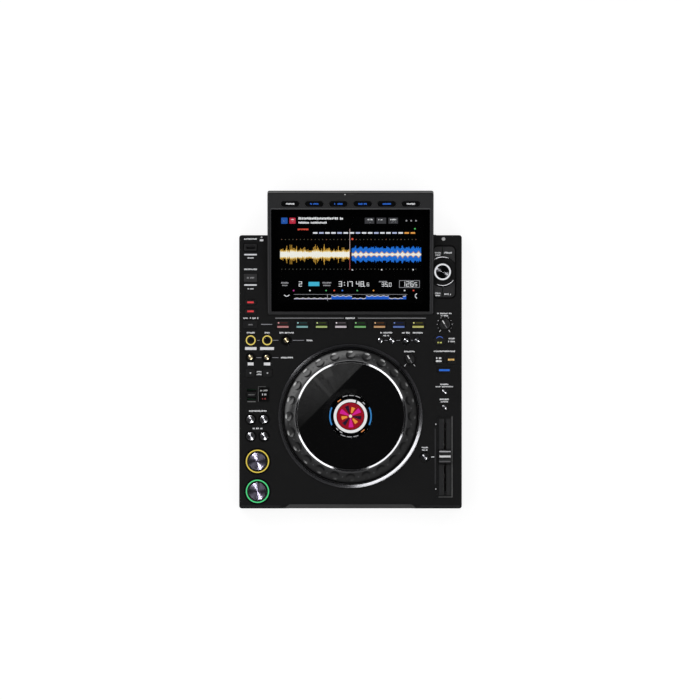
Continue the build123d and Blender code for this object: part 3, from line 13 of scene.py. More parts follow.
import bmesh
import bpy
import numpy as np
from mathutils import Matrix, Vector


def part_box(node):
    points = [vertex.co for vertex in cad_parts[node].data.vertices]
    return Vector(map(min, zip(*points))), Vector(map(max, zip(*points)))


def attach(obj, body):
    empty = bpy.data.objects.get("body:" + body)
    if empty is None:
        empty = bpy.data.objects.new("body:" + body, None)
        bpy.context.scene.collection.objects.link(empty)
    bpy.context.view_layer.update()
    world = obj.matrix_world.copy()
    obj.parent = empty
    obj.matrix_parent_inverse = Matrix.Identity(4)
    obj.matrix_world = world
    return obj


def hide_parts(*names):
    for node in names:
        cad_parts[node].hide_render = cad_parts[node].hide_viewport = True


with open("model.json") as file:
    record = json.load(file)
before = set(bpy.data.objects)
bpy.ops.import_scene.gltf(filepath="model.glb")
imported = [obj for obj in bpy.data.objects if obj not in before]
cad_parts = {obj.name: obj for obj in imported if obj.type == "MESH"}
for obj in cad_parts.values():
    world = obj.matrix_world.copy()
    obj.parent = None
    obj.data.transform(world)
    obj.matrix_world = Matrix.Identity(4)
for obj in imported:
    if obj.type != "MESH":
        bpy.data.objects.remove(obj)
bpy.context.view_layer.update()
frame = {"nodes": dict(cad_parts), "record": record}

mm = 0.001

# %% [markdown]
# ## From numbers to meshes
# Almost everything that is added here is flat and small: a printed dash, a lit bar, a cell of the screen.
# Each is a prism on an outline, and hundreds of them go into one mesh, so they are worked out as whole
# arrays. Round parts are a profile carried round an upright axis. Modelling them by hand would give the
# same meshes, but their places would no longer follow the frame. Every size here is in millimetres, as on a
# drawing.

# %% Prisms and lathe shapes
def prisms(outlines, low, high):
    """n upright prisms. An outline is k corners, anticlockwise. Corner j of prism i stands at height low
    and again, k points later, at height high; a side joins corner j with corner j + 1."""
    outlines = np.asarray(outlines, float)
    count, corners = outlines.shape[:2]
    points = np.zeros((count, 2, corners, 3))
    points[..., :2] = outlines[:, None]
    points[:, 0, :, 2] = low
    points[:, 1, :, 2] = high
    ring = np.arange(corners)
    ahead = np.roll(ring, -1)
    first = np.arange(count)[:, None] * 2 * corners
    sides = np.stack([ring, ahead, ahead + corners, ring + corners], axis=1).reshape(1, -1)
    faces = [first + ring[::-1], first + corners + ring, (first + sides).reshape(-1, 4)]
    return points.reshape(-1, 3), faces


def bars(rows):
    """Outlines of rectangles: each row is the centre x and y, the width and the height."""
    rows = np.asarray(rows, float).reshape(-1, 4)
    corner = np.array([(-0.5, -0.5), (0.5, -0.5), (0.5, 0.5), (-0.5, 0.5)])
    return rows[:, None, :2] + corner * rows[:, None, 2:]


def discs(rows, sides=16):
    """Outlines of round spots: each row is the centre x and y and the radius; the corners lie evenly on the
    circle."""
    rows = np.asarray(rows, float).reshape(-1, 3)
    turn = np.arange(sides) * 2 * pi / sides
    return rows[:, None, :2] + np.stack([np.cos(turn), np.sin(turn)], axis=1) * rows[:, None, 2:]


def arcs(rows, steps=24):
    """Outlines of ring sectors: each row is the centre x and y, the inner and outer radius, and the first
    and last angle in degrees. The outline runs out along the outer arc and back along the inner one."""
    rows = np.asarray(rows, float).reshape(-1, 6)
    share = np.linspace(0, 1, steps + 1)
    turn = np.radians(rows[:, 4:5] + (rows[:, 5:6] - rows[:, 4:5]) * share)
    way = np.stack([np.cos(turn), np.sin(turn)], axis=2)
    outer = rows[:, None, 3:4] * way
    inner = rows[:, None, 2:3] * way[:, ::-1]
    return rows[:, None, :2] + np.concatenate([outer, inner], axis=1)


def rounded(rows, steps=6):
    """Outlines of rectangles with round corners: each row is the centre x and y, the width, the height and
    the corner radius. A corner's points are its own centre plus the radius along a quarter of a turn."""
    rows = np.asarray(rows, float).reshape(-1, 5)
    quarter = np.linspace(0, pi / 2, steps)
    turn = (np.arange(4)[:, None] * pi / 2 + quarter).ravel()
    side = np.repeat([(1, 1), (-1, 1), (-1, -1), (1, -1)], steps, axis=0)
    inner = rows[:, None, 2:4] / 2 - rows[:, None, 4:]
    way = np.stack([np.cos(turn), np.sin(turn)], axis=1)
    return rows[:, None, :2] + side * inner + way * rows[:, None, 4:]


def lathe(profile, centre, turns=96, sector=None):
    """A closed profile of (radius, height) points, anticlockwise, carried round the upright axis through
    centre: x = centre + radius cos(turn), y = centre + radius sin(turn). A sector, the first and last angle
    in degrees, gives an open piece whose two ends are closed by the profile."""
    profile = np.asarray(profile, float)
    count = len(profile)
    if sector:
        turn = np.radians(np.linspace(*sector, turns + 1))[:, None]
    else:
        turn = np.arange(turns)[:, None] * 2 * pi / turns
    x = centre[0] + profile[:, 0] * np.cos(turn)
    y = centre[1] + profile[:, 0] * np.sin(turn)
    points = np.stack([x, y, np.broadcast_to(profile[:, 1], x.shape)], axis=2).reshape(-1, 3)
    here = (np.arange(len(turn)) * count)[:, None] + np.arange(count)
    after = np.roll(here, -1, axis=0)
    faces = np.stack([here, after, np.roll(after, -1, axis=1), np.roll(here, -1, axis=1)], axis=2)
    if sector:
        return points, [faces[:-1].reshape(-1, 4), here[:1], here[-1:, ::-1]]
    return points, [faces.reshape(-1, 4)]


# %% One mesh from many parts
WHITE, BLACK = (0.85, 0.86, 0.88), (0.0, 0.0, 0.0)
smooth_below = radians(25)


def scaled(points):
    """Millimetres to metres."""
    return points * mm


def build(name, parts, finish, body, place=scaled, smooth=False):
    """Joins parts, each (points, faces, tint), into one mesh. The tint, one colour or one for each prism,
    is kept as a colour attribute on the face corners. Points pass through place, which says where the sheet
    lies."""
    points, faces, tints, start = [], [], [], 0
    for part_points, groups, tint in parts:
        tint = np.atleast_2d(np.asarray(tint, float))
        points.append(part_points)
        for group in groups:
            faces += (group + start).tolist()
            tints.append(np.repeat(tint, group.size // len(tint), axis=0))
        start += len(part_points)
    mesh = bpy.data.meshes.new(name)
    mesh.from_pydata(place(np.concatenate(points)).tolist(), [], faces)
    colours = np.concatenate(tints)
    layer = mesh.color_attributes.new(name="tint", type="FLOAT_COLOR", domain="CORNER")
    layer.data.foreach_set("color", np.column_stack([colours, np.ones(len(colours))]).ravel())
    if smooth:
        tidy = bmesh.new()
        tidy.from_mesh(mesh)
        bmesh.ops.remove_doubles(tidy, verts=tidy.verts, dist=1e-7)
        bmesh.ops.recalc_face_normals(tidy, faces=tidy.faces)
        tidy.to_mesh(mesh)
        tidy.free()
        mesh.shade_smooth()
        mesh.set_sharp_from_angle(angle=smooth_below)
    mesh.validate()
    piece = bpy.data.objects.new(name, mesh)
    bpy.context.collection.objects.link(piece)
    mesh.materials.append(finish)
    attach(piece, body)
    print(name, len(mesh.polygons), "faces on", body)
    return piece


# %% [markdown]
# ## Finishes
# The real surfaces are injection-moulded plastic with a fine spark-eroded texture, painted steel, turned
# aluminium, glass, and prints. One noise at the size of the real grain moves the colour a little and lifts
# the surface; a second one, as wide as a hand's touch, moves the roughness, as handling does. Both read
# Object coordinates, because the pieces have no unwrapped map, and what is the same everywhere is set on
# the shader.

# %% Nodes
def fill(tree, node, sockets):
    """Fills sockets, given by name or number. A node's output is linked, anything else is a constant."""
    for key, value in sockets.items():
        socket = node.inputs[key if isinstance(key, int) else key.replace("_", " ")]
        if isinstance(value, bpy.types.NodeSocket):
            tree.links.new(value, socket)
        elif socket.type == "RGBA":
            socket.default_value = (*value, 1.0)
        else:
            socket.default_value = value


def add(tree, kind, *first, **named):
    """A new shader node, with its first sockets filled in order and others by name."""
    node = tree.nodes.new("ShaderNode" + kind)
    fill(tree, node, dict(enumerate(first)) | named)
    return node


def reckon(tree, operation, first, second):
    """One step of arithmetic on two sockets or numbers."""
    node = add(tree, "Math", first, second)
    node.operation = operation
    return node.outputs[0]


def noise(tree, size, detail=3.0):
    """Noise whose cells are about this size in metres, read in Object coordinates."""
    place = add(tree, "TexCoord").outputs["Object"]
    return add(tree, "TexNoise", Vector=place, Scale=1 / size, Detail=detail).outputs[0]


def spread(tree, source, low, high):
    """Maps the middle of a noise onto the range from low to high."""
    return add(tree, "MapRange", source, From_Min=0.3, From_Max=0.7, To_Min=low, To_Max=high).outputs[0]


def blend_colours(tree, factor, first, second):
    """Mixes two colours, each a constant or a socket, by a factor socket."""
    node = tree.nodes.new("ShaderNodeMix")
    node.data_type = "RGBA"
    fill(tree, node, {0: factor, 6: first, 7: second})
    return node.outputs[2]


def bare(name, **constants):
    """A material whose Principled shader has these constants; gives the material, its tree, the shader."""
    material = bpy.data.materials.new(name)
    material.use_nodes = True
    tree = material.node_tree
    shader = tree.nodes["Principled BSDF"]
    fill(tree, shader, constants)
    return material, tree, shader


# %% The grain that every moulded and painted surface has
# How upright a surface's normal is where its colour is all the painted edge tone, and where it is all top.
bevel_lean, top_lean = 0.90, 0.955
hand_size = 60 * mm


def grey(tone):
    """A number is a grey with a touch of blue, as black plastics have. A colour stays itself."""
    return (tone, tone, tone * 1.04) if isinstance(tone, float) else tone


def grained(name, dark, light, rough, grain, lift, edge=None, gloss=0.5, **constants):
    """A finish: the fine noise moves the colour from dark to light and is the bump, the wide one the
    roughness. Grain and lift are in millimetres. Where the surface leans away from the top, as on bevels
    and walls, the colour becomes edge."""
    material, tree, shader = bare(name, Specular_IOR_Level=gloss, **constants)
    fine = noise(tree, grain * mm)
    colour = blend_colours(tree, fine, grey(dark), grey(light))
    # Edge paints bevels and walls by their direction: darker than the top is painted shade, lighter is a
    # painted highlight.
    if edge:
        upright = add(tree, "SeparateXYZ", add(tree, "NewGeometry").outputs["True Normal"]).outputs["Z"]
        top = add(tree, "MapRange", upright, From_Min=bevel_lean, From_Max=top_lean).outputs[0]
        colour = blend_colours(tree, top, grey(edge), colour)
    wide = noise(tree, hand_size, 5.0)
    bump = add(tree, "Bump", Distance=lift * mm, Height=fine).outputs[0]
    fill(tree, shader, {"Base Color": colour, "Roughness": spread(tree, wide, *rough), "Normal": bump})
    return material


slots = {
    # The deck's bevels and walls turn darker: painted shade.
    "case_plastic": grained(
        "moulded_deck", 0.0056, 0.0088, (0.42, 0.52), 0.35, 0.05, edge=0.003, gloss=0.16
    ),
    "sheet_steel": grained("painted_sheet", 0.012, 0.017, (0.38, 0.46), 0.8, 0.02),
    "plated_steel": grained(
        "zinc_plating", (0.42, 0.42, 0.40), (0.62, 0.62, 0.58), (0.28, 0.42), 1.5, 0.01, Metallic=1.0
    ),
    "rubber": grained("foot_rubber", 0.012, 0.022, (0.75, 0.9), 0.5, 0.06),
    # The bezel's bevels and walls turn darker: painted shade.
    "bezel_plastic": grained("bezel_black", 0.018, 0.026, (0.32, 0.40), 0.3, 0.02, edge=0.004, gloss=0.3),
    "board": grained("solder_mask", (0.01, 0.05, 0.02), (0.015, 0.08, 0.035), (0.3, 0.5), 2.0, 0.02),
    "jog_plastic": grained(
        "jog_moulding", 0.006, 0.010, (0.30, 0.40), 0.5, 0.01,
        Coat_Weight=1.0, Coat_IOR=2.0, Coat_Roughness=0.12,
    ),
    "platter": grained("platter_lacquer", 0.003, 0.005, (0.045, 0.06), 3.0, 0.001),
    "bearing_steel": grained(
        "ground_steel", (0.55, 0.55, 0.56), (0.68, 0.68, 0.70), (0.12, 0.22), 0.4, 0.002, Metallic=1.0
    ),
    "gear_plastic": grained("gear_nylon", (0.62, 0.61, 0.56), (0.74, 0.73, 0.68), (0.4, 0.5), 1.0, 0.01),
    "key_plastic": grained("key_black", 0.007, 0.012, (0.30, 0.42), 0.4, 0.02, gloss=0.3),
    "key_metal": grained("dark_anodised", 0.010, 0.018, (0.25, 0.35), 0.3, 0.01, Metallic=0.3),
    "jack_plastic": grained("jack_black", 0.008, 0.014, (0.35, 0.5), 0.6, 0.02),
    "knob": grained("knob_black", 0.008, 0.014, (0.35, 0.45), 0.4, 0.03),
    "fader": grained("fader_black", 0.004, 0.008, (0.34, 0.42), 0.5, 0.01, gloss=0.2),
    "screen": grained("screen_black", 0.001, 0.002, (0.50, 0.60), 2.0, 0.002, gloss=0.0),
}
print(len(slots), "grained finishes")

# %% [markdown]
# ## Glass, light guides and special keys
# The cover glass and the jog wheel's window are clear, with a trace of smear in their gloss. The light
# guides are smoked acrylic that shows black where no lamp is behind it. The lit part is narrower than the
# acrylic, because the lamps sit under its middle, so it is drawn as a thin glowing sheet on top in a later
# step. A few keys have a gloss or a grey of their own.

# %% Clear finishes
def clear(name, tone):
    """Clear glass or acrylic, its roughness moved a little by finger marks."""
    material, tree, shader = bare(name, Transmission_Weight=1.0, IOR=1.45)
    wide = noise(tree, 0.03, 4.0)
    colour = blend_colours(tree, wide, tone, (0.98, 0.98, 0.98))
    fill(tree, shader, {"Roughness": spread(tree, wide, 0.0, 0.03), "Base Color": colour})
    return material


slots["cover_glass"] = clear("cover_glass", (0.93, 0.95, 0.95))
slots["window"] = clear("jog_window_acrylic", (0.95, 0.95, 0.96))
# The walls of these keys turn lighter: a painted highlight.
glossy_keys = grained("display_key_gloss", 0.003, 0.005, (0.08, 0.14), 1.0, 0.002, edge=0.03)


# %% Give every frame node its finish
def give(node, finish):
    """The finish becomes the only material of a frame node."""
    data = frame["nodes"][node].data
    data.materials.clear()
    data.materials.append(finish)


for part in frame["record"]["subparts"]:
    if part["material_slot"] in slots:
        give(part["node"], slots[part["material_slot"]])
give("display_keys", glossy_keys)
give("light_guides", grained("smoked_guides", 0.006, 0.012, (0.25, 0.35), 1.5, 0.005, gloss=0.3))
# The browse keys' walls turn lighter: a painted highlight.
browse_plastic = grained(
    "browse_key_plastic", 0.017, 0.025, (0.35, 0.45), 0.4, 0.02, edge=0.05, gloss=0.3
)
give("browse_keys", browse_plastic)
give("media_stop_key", grained("stop_key_plastic", 0.020, 0.030, (0.35, 0.45), 0.4, 0.02, gloss=0.3))
print("finishes given")

# %% [markdown]
# ## Printed and lit marks
# The deck carries several hundred small marks. On the real player the white ones are screen printed with a
# flat ink, and the coloured ones are windows in the keys with a lamp below. Both could be one texture, but
# a texture blurs close up. As thin prisms they stay sharp at any distance, and a colour attribute on their
# corners lets one ink and one lamp material serve them all.

# %% Ink, lamp and screen materials that read the tint
def tinted(name, size, depth, glow):
    """Reads the colour attribute called tint, with cells of this size darkening it by up to this share. It
    glows at strength 1 if glow is set, else it is plain matt ink."""
    constants = dict(Emission_Strength=1.0, Specular_IOR_Level=0.0) if glow else dict(Specular_IOR_Level=0.2)
    material, tree, shader = bare(name, Roughness=0.45, **constants)
    tint = add(tree, "VertexColor")
    tint.layer_name = "tint"
    uneven = spread(tree, noise(tree, size), 0.0, depth)
    worn = blend_colours(tree, uneven, tint.outputs[0], BLACK)
    if glow:
        fill(tree, shader, {"Base Color": (0.004, 0.004, 0.004), "Emission Color": worn})
    else:
        fill(tree, shader, {"Base Color": worn})
    return material


# Ink also carries painted shade and painted highlights: dark rings and frames round keys, and light lines on
# edges and ridges.
ink = tinted("ink_and_painted_light", 0.25 * mm, 0.18, False)
lamp = tinted("lamp_window", 1.2 * mm, 0.3, True)
pixels = tinted("screen_pixels", 0.3 * mm, 0.12, True)


# %% Lines of print too small to read
def words(x, y, width, height, seed):
    """A printed line reduced to strokes: as many equal steps as fit the width, one stroke of random height
    in most of them and a gap in the rest. Gives rows for bars()."""
    chance = np.random.default_rng(seed)
    count = max(2, round(width / (0.72 * height)))
    step = width / count
    rows = np.zeros((count, 4))
    rows[:, 0] = x - width / 2 + step * (np.arange(count) + 0.5)
    rows[:, 2] = step * chance.uniform(0.66, 0.88, count)
    rows[:, 3] = height * chance.uniform(0.75, 1.1, count)
    rows[:, 1] = y - (height - rows[:, 3]) * chance.choice([-0.5, 0.5], count)
    keep = chance.random(count) > 0.08
    keep[[0, -1]] = True
    return rows[keep]


def text(*rows):
    """Outlines of the strokes of several lines. A row is x, y, width and height; its number is its seed."""
    return bars(np.concatenate([words(*row, seed) for seed, row in enumerate(rows)]))


deck = 70.0


def printed(outlines, tint, base=deck, low=-0.02, high=0.03):
    """Marks for build(): prisms that start just inside a face at height base and end just proud of it."""
    return (*prisms(outlines, base + low, base + high), tint)


print("one line of print has", len(words(0, 0, 20, 2, 1)), "strokes")

# %% The print on the deck
labels = [
    (-147.8, 163.7, 19.0, 2.2), (-147.8, 135.6, 9.0, 1.9), (-147.8, 119.0, 19.0, 2.2),
    (-147.8, 90.0, 9.0, 1.9), (-155.2, 46.6, 7.0, 2.0), (-142.4, 46.6, 12.5, 2.6),
    (-147.4, 25.1, 12.0, 2.2), (-123.0, 25.1, 8.0, 2.2), (-94.4, 25.1, 21.5, 2.2), (-60.4, 13.8, 9.0, 2.2),
    (-93.9, -11.6, 18.0, 2.2), (-135.2, -32.6, 7.0, 2.0), (-135.2, -36.4, 7.4, 2.0),
    (-136.9, -90.5, 26.0, 2.2), (-137.4, -116.4, 14.5, 2.2), (-0.5, 46.7, 14.0, 2.3),
    (52.8, 25.2, 18.0, 2.2), (52.8, 21.0, 8.5, 2.0), (81.9, 25.1, 12.0, 2.2), (99.4, 25.1, 15.0, 2.2),
    (87.0, -2.6, 15.7, 2.2), (138.7, 53.7, 21.5, 2.0), (138.7, 50.2, 11.0, 2.0), (149.3, 16.4, 9.0, 2.2),
    (149.3, 12.2, 10.0, 2.2), (138.7, -2.2, 31.5, 2.2), (138.7, -51.2, 12.0, 2.2),
    (138.7, -54.6, 26.0, 1.6), (138.7, -73.2, 13.5, 2.2), (138.7, -76.8, 11.0, 2.2),
    (109.7, -144.6, 9.5, 2.0), (109.7, -148.2, 8.5, 2.0),
]
boxes = [
    (-147.4, 1.8, 17.0, 4.2), (-123.4, 1.8, 20.5, 4.2), (-147.6, -21.0, 8.6, 4.4), (-123.4, -21.0, 9.6, 4.4),
]
cue_lines = [(-60.5, 46.7, 101.0, 1.3), (61.0, 46.7, 100.5, 1.3)]
link_lines = [
    (-124.0, 37.5, 16.6, 1.2), (-136.0, 13.9, 3.6, 0.8), (-111.3, 13.9, 9.6, 0.8), (-76.9, 13.9, 16.6, 0.9),
    (-135.5, -11.6, 7.4, 0.8), (-111.0, -11.6, 9.4, 0.8), (52.6, 13.9, 4.6, 0.8), (70.6, 13.9, 5.6, 0.8),
    (91.0, 13.9, 2.6, 0.8),
]
# The two lines just inside the front edge are painted highlights along its lip; the upright line beside the
# slider is its printed scale.
edge_highlights_and_scale_line = [(-132.5, -231.0, 58.0, 0.9), (132.5, -231.0, 58.0, 0.9), (125.3, -157.7, 2.0, 82.0)]
deck_marks = [
    printed(text(*labels), WHITE), printed(bars(boxes), (0.9, 0.9, 0.92)),
    printed(bars(cue_lines), (0.26, 0.26, 0.27)), printed(bars(link_lines), (0.30, 0.30, 0.33)),
    printed(bars(edge_highlights_and_scale_line), (0.028, 0.028, 0.03)),
]
print(len(labels), "printed lines on the deck")

# %% Dark rings round the keys: painted shade in their wells
# Near black: painted shade in the gaps round keys and key plates.
shade = (0.001, 0.001, 0.001)
cue_at, play_at, reloop_at, reset_at = (-137.5, -164.9), (-137.5, -209.2), (-94.9, 14.0), (109.8, -158.5)
track_at, search_at = [(-147.4, -102.8), (-127.8, -102.8)], [(-147.4, -127.9), (-127.8, -127.9)]
loop_at, beat_at = [(-147.5, 14.0), (-123.1, 14.0)], [(-147.8, -11.2), (-123.7, -11.2)]
memory_at = [(82.0, 14.0), (98.3, 14.0)]
wells = [(*reloop_at, 5.0, 8.2)] + [(*spot, 5.0, 7.6) for spot in beat_at]
wells += [(*memory_at[0], 5.0, 7.4), (*reset_at, 5.6, 8.0)]
wells += [(*spot, 6.6, 8.6) for spot in track_at + search_at]
wells += [(*spot, 18.0, 20.0) for spot in (cue_at, play_at)]
well_shade_rings = arcs([(*row, 0, 359.9) for row in wells], 40)
deck_marks.append(printed(well_shade_rings, shade, high=0.02))
print(len(wells), "round wells")


# %% Ticks round the knobs and along the slider
def scale_ticks(centre, radius, angles, length, width):
    """Outlines of ticks that point at a centre: a bar from radius outwards, turned to each angle in
    degrees."""
    turn = np.radians(np.asarray(angles, float))[:, None]
    reach = np.array([radius, radius + length, radius + length, radius])
    side = np.array([-0.5, -0.5, 0.5, 0.5]) * width
    x = centre[0] + reach * np.cos(turn) - side * np.sin(turn)
    y = centre[1] + reach * np.sin(turn) + side * np.cos(turn)
    return np.stack([x, y], axis=2)


vinyl_at, adjust_at, slider_at = (139.2, 37.6), (87.6, -14.1), (139.6, -158.5)
sweep = np.linspace(-60, 240, 11)
ticks = np.concatenate([
    scale_ticks(vinyl_at, 10.4, sweep[1:-1], 1.0, 0.9), scale_ticks(vinyl_at, 10.2, [-55, 235], 3.6, 0.9),
    scale_ticks(adjust_at, 9.6, [-52, 232], 3.4, 0.9), scale_ticks(slider_at, 16.0, [180], 4.6, 1.4),
    scale_ticks((125.3, -110.0), 0.0, [0], 1.4, 1.8), scale_ticks((125.3, -205.8), 0.0, [0], 1.4, 1.8),
])
deck_marks.append(printed(ticks, WHITE))
deck_marks.append(printed(discs([(-131.3, 166.2, 1.3), (137.5, 163.7, 2.6)]), (0.6, 0.6, 0.6)))
deck_marks.append(printed(rounded([(-131.4, 161.8, 5.6, 2.9, 1.1)]), WHITE))
print(len(ticks), "ticks")


# %% Painted shade frames round the browse keys and the two left keys
def frames(x, y, width, height, radius, line):
    """Outlines that together make a rounded frame of this line width: four bars and four quarter rings. The
    sizes are those of its outer edge."""
    across, along = width / 2 - radius, height / 2 - radius
    side_x, side_y = width / 2 - line / 2, height / 2 - line / 2
    straight = [
        (x, y + side_y, 2 * across, line), (x, y - side_y, 2 * across, line),
        (x + side_x, y, line, 2 * along), (x - side_x, y, line, 2 * along),
    ]
    corners = []
    for number, (right, up) in enumerate(((1, 1), (-1, 1), (-1, -1), (1, -1))):
        turn = 90 * number
        corners.append((x + right * across, y + up * along, radius - line, radius, turn, turn + 90))
    return [bars(straight), arcs(corners, 8)]


for row in (
    (138.5, 115.0, 35.8, 79.6, 8.4, 2.2), (-147.8, 151.4, 21.5, 13.4, 2.4, 1.2),
    (-147.8, 106.3, 21.5, 13.4, 2.4, 1.2),
):
    deck_marks += [printed(outlines, shade) for outlines in frames(*row)]
build("deck_print_and_painted_light", deck_marks, ink, "root")

# %% [markdown]
# ## Colour on the keys
# Each hot cue pad glows along its front edge and has a small dot in the corner, in its own colour. The glow
# sits on the pad, so it is a mesh of its own for each pad and rides on that pad's body. The other lit keys
# follow the same rule.

# %% Eight hot cue pads
def top_of(node):
    """Height of a node's highest point, in millimetres."""
    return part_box(node)[1].z / mm


cue_middle = 37.1
cue_colours = [
    (0.52, 0.24, 0.24), (0.24, 0.46, 0.46), (0.42, 0.52, 0.20), (0.64, 0.58, 0.62), (0.20, 0.46, 0.18),
    (0.60, 0.36, 0.18), (0.12, 0.19, 0.46), (0.56, 0.54, 0.18),
]
for number, colour in enumerate(cue_colours):
    node = f"hot_cue_{number + 1}"
    low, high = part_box(node)
    x, y, top = (low.x + high.x) / 2 / mm, cue_middle, high.z / mm
    tone = np.array(colour)
    edge = bars([(x, y - 3.4, 16.6, 2.3)])
    haze = bars([(x, y - 1.6, 16.6, 1.0), (x + 1.6, y + 2.6, 10.5, 1.0)])
    dot = discs([(x - 6.4, y + 2.6, 1.1)])
    parts = [
        printed(edge, tone, top, -0.1, 0.12), printed(haze, tone**2 * 0.4, top, -0.1, 0.06),
        printed(dot, np.minimum(tone * 1.5, 1.0), top, -0.1, 0.12),
    ]
    build(node + "_light", parts, lamp, node)


# %% Other lit keys and printed keys
def mark_key(node, groups, finish=lamp):
    """Marks on one node's top: groups of (outlines, colour), less than a tenth of a millimetre proud of the
    key."""
    parts = [printed(outlines, colour, top_of(node), -0.1, 0.08) for outlines, colour in groups]
    return build(node + "_light", parts, finish, node)


RED, BLUE = (0.80, 0.06, 0.07), (0.03, 0.16, 0.72)
mark_key("mode_keys", [
    (bars([(-147.8, 70.1, 9.4, 2.6), (-147.8, 56.8, 9.4, 2.6)]), RED),
    (text((-147.8, 37.1, 6.0, 1.8)), (0.25, 0.25, 0.26)),
])
mark_key("beat_sync_key", [(text((130.4, -12.5, 8.0, 2.6), (130.4, -16.7, 8.6, 2.6)), WHITE)])
mark_key("master_key", [(text((148.7, -14.6, 9.4, 2.6)), (0.95, 0.60, 0.20))])
mark_key("key_sync_key", [(bars([(138.8, -30.2, 15.6, 2.8)]), BLUE)])
mark_key("jog_mode_key", [
    (arcs([(131.8, 14.0, 5.0, 5.9, 35, 150)]), (0.08, 0.16, 0.62)),
    (text((131.8, 10.6, 6.4, 2.0)), (0.80, 0.82, 0.22)),
])
mark_key("beat_jump_keys", [(discs([(-147.8, -34.4, 1.5), (-122.7, -34.4, 1.5)], 3), WHITE)], ink)
mark_key("media_stop_key", [(text((-147.8, 106.3, 11.0, 2.2)), (0.30, 0.30, 0.31))], ink)

# %% Glow of the light guides
AMBER, GREEN, STRAW = (0.86, 0.66, 0.10), (0.10, 0.80, 0.28), (0.88, 0.70, 0.16)


def glow_ring(centre, inner, outer, colour):
    """A flat glowing ring, a tenth of a millimetre thick, on top of a ring guide."""
    low, high = deck + 0.45, deck + 0.56
    return (*lathe([(inner, low), (outer, low), (outer, high), (inner, high)], centre, 64), colour)


glow_bars = rounded([(-147.8, 140.6, 18.8, 2.1, 0.9), (-147.8, 95.7, 18.8, 2.1, 0.9)])
dim_bar = rounded([(-146.3, -76.7, 12.4, 1.5, 0.7)])
guide_glow = [glow_ring(cue_at, 15.5, 17.2, AMBER), glow_ring(play_at, 15.5, 17.2, GREEN)]
guide_glow += [glow_ring(centre, 5.6, 7.3, STRAW) for centre in loop_at]
guide_glow.append(printed(glow_bars, (0.72, 0.73, 0.76), low=0.15, high=0.26))
guide_glow.append(printed(dim_bar, (0.13, 0.13, 0.13), low=0.15, high=0.26))
build("guide_glow", guide_glow, lamp, "root")

# %% [markdown]
# ## Turned metal caps
# The transport and search buttons have dished metal caps whose tops are faced off on a lathe. The tool
# leaves rings finer than the eye can see, so a lamp shows as a bow tie that points at it. Modelling the
# rings would need a hundred thousand faces for each cap. An anisotropic shader that spreads a highlight
# away from the middle gives the same glint, and its direction is stored on the mesh, so that one material
# serves caps of every size.

# %% Turned metal
def turned(name, tone, rough, anisotropy):
    """Metal with turning marks: the attribute called across holds the direction square to them."""
    material, tree, shader = bare(name, Metallic=1.0, Anisotropic=anisotropy)
    across = add(tree, "Attribute")
    across.attribute_name = "across"
    bright = tuple(min(1.0, 1.3 * share) for share in tone)
    fill(tree, shader, {
        "Tangent": across.outputs["Vector"],
        "Base Color": blend_colours(tree, noise(tree, 0.5 * mm, 6.0), tone, bright),
        "Roughness": spread(tree, noise(tree, 4 * mm), *rough),
    })
    return material


capped = []
dish_share, wall = 0.028, 0.94  # depth of the dish, and radius of its edge, as shares of the cap's radius


def caps(name, rows, finish, body):
    """Dished discs: each row is x, y, z of the seat and the radius. The top falls as the square of the
    distance from the rim to the middle, by the same share of the radius in all, and the attribute across is
    the unit vector away from the nearest centre."""
    rows = np.asarray(rows, float)
    parts = []
    for x, y, z, radius in rows:
        dish = dish_share * radius
        hollow = [(radius * s, z + 0.07 + 0.8 * dish * s * s) for s in np.linspace(1.0, 0.0, 9) * wall]
        profile = [(0.0, z - 0.3), (radius, z - 0.3), (radius, z + 0.05 + 0.7 * dish)] + hollow
        parts.append((*lathe(profile, (x, y), 64), (1.0, 1.0, 1.0)))
    piece = build(name, parts, finish, body, smooth=True)
    mesh = piece.data
    places = np.zeros(len(mesh.vertices) * 3)
    mesh.vertices.foreach_get("co", places)
    gaps = places.reshape(-1, 3)[:, None, :2] - rows[None, :, :2] * mm
    gap = gaps[np.arange(len(gaps)), np.argmin((gaps**2).sum(axis=2), axis=1)]
    length = np.maximum(np.hypot(gap[:, 0], gap[:, 1]), 1e-9)
    across = np.column_stack([gap[:, 0] / length, gap[:, 1] / length, np.zeros(len(gap))])
    layer = mesh.attributes.new("across", "FLOAT_VECTOR", "POINT")
    layer.data.foreach_set("vector", across.ravel())
    capped.append(piece)


bright_cap = turned("turned_aluminium", (0.30, 0.28, 0.37), (0.28, 0.31), 0.98)
dark_cap = turned("turned_black_chrome", (0.38, 0.38, 0.40), (0.31, 0.34), 0.95)
warm_cap = turned("turned_warm_chrome", (0.46, 0.38, 0.23), (0.31, 0.34), 0.95)
black_cap = turned("turned_black_anodised", (0.07, 0.07, 0.075), (0.24, 0.26), 0.99)
for node, spots, radius, finish in (
    ("cue_button", [cue_at], 12.7, bright_cap), ("play_button", [play_at], 12.7, bright_cap),
    ("track_search_keys", track_at, 5.9, dark_cap), ("search_keys", search_at, 5.9, dark_cap),
    ("loop_in_button", loop_at[:1], 3.6, glossy_keys), ("loop_out_button", loop_at[1:], 3.6, glossy_keys),
    ("reloop_button", [reloop_at], 3.6, warm_cap), ("beat_loop_keys", beat_at, 3.6, warm_cap),
    ("cue_call_keys", [(44.0, 14.0), (61.0, 14.0)], 3.6, dark_cap),
    ("memory_keys", memory_at, 3.6, dark_cap), ("tempo_reset_key", [reset_at], 4.6, dark_cap),
    ("tempo_keys", [(138.7, -61.9), (138.7, -84.6)], 3.6, dark_cap),
):
    caps(node + "_caps", [(x, y, top_of(node), radius) for x, y in spots], finish, node)

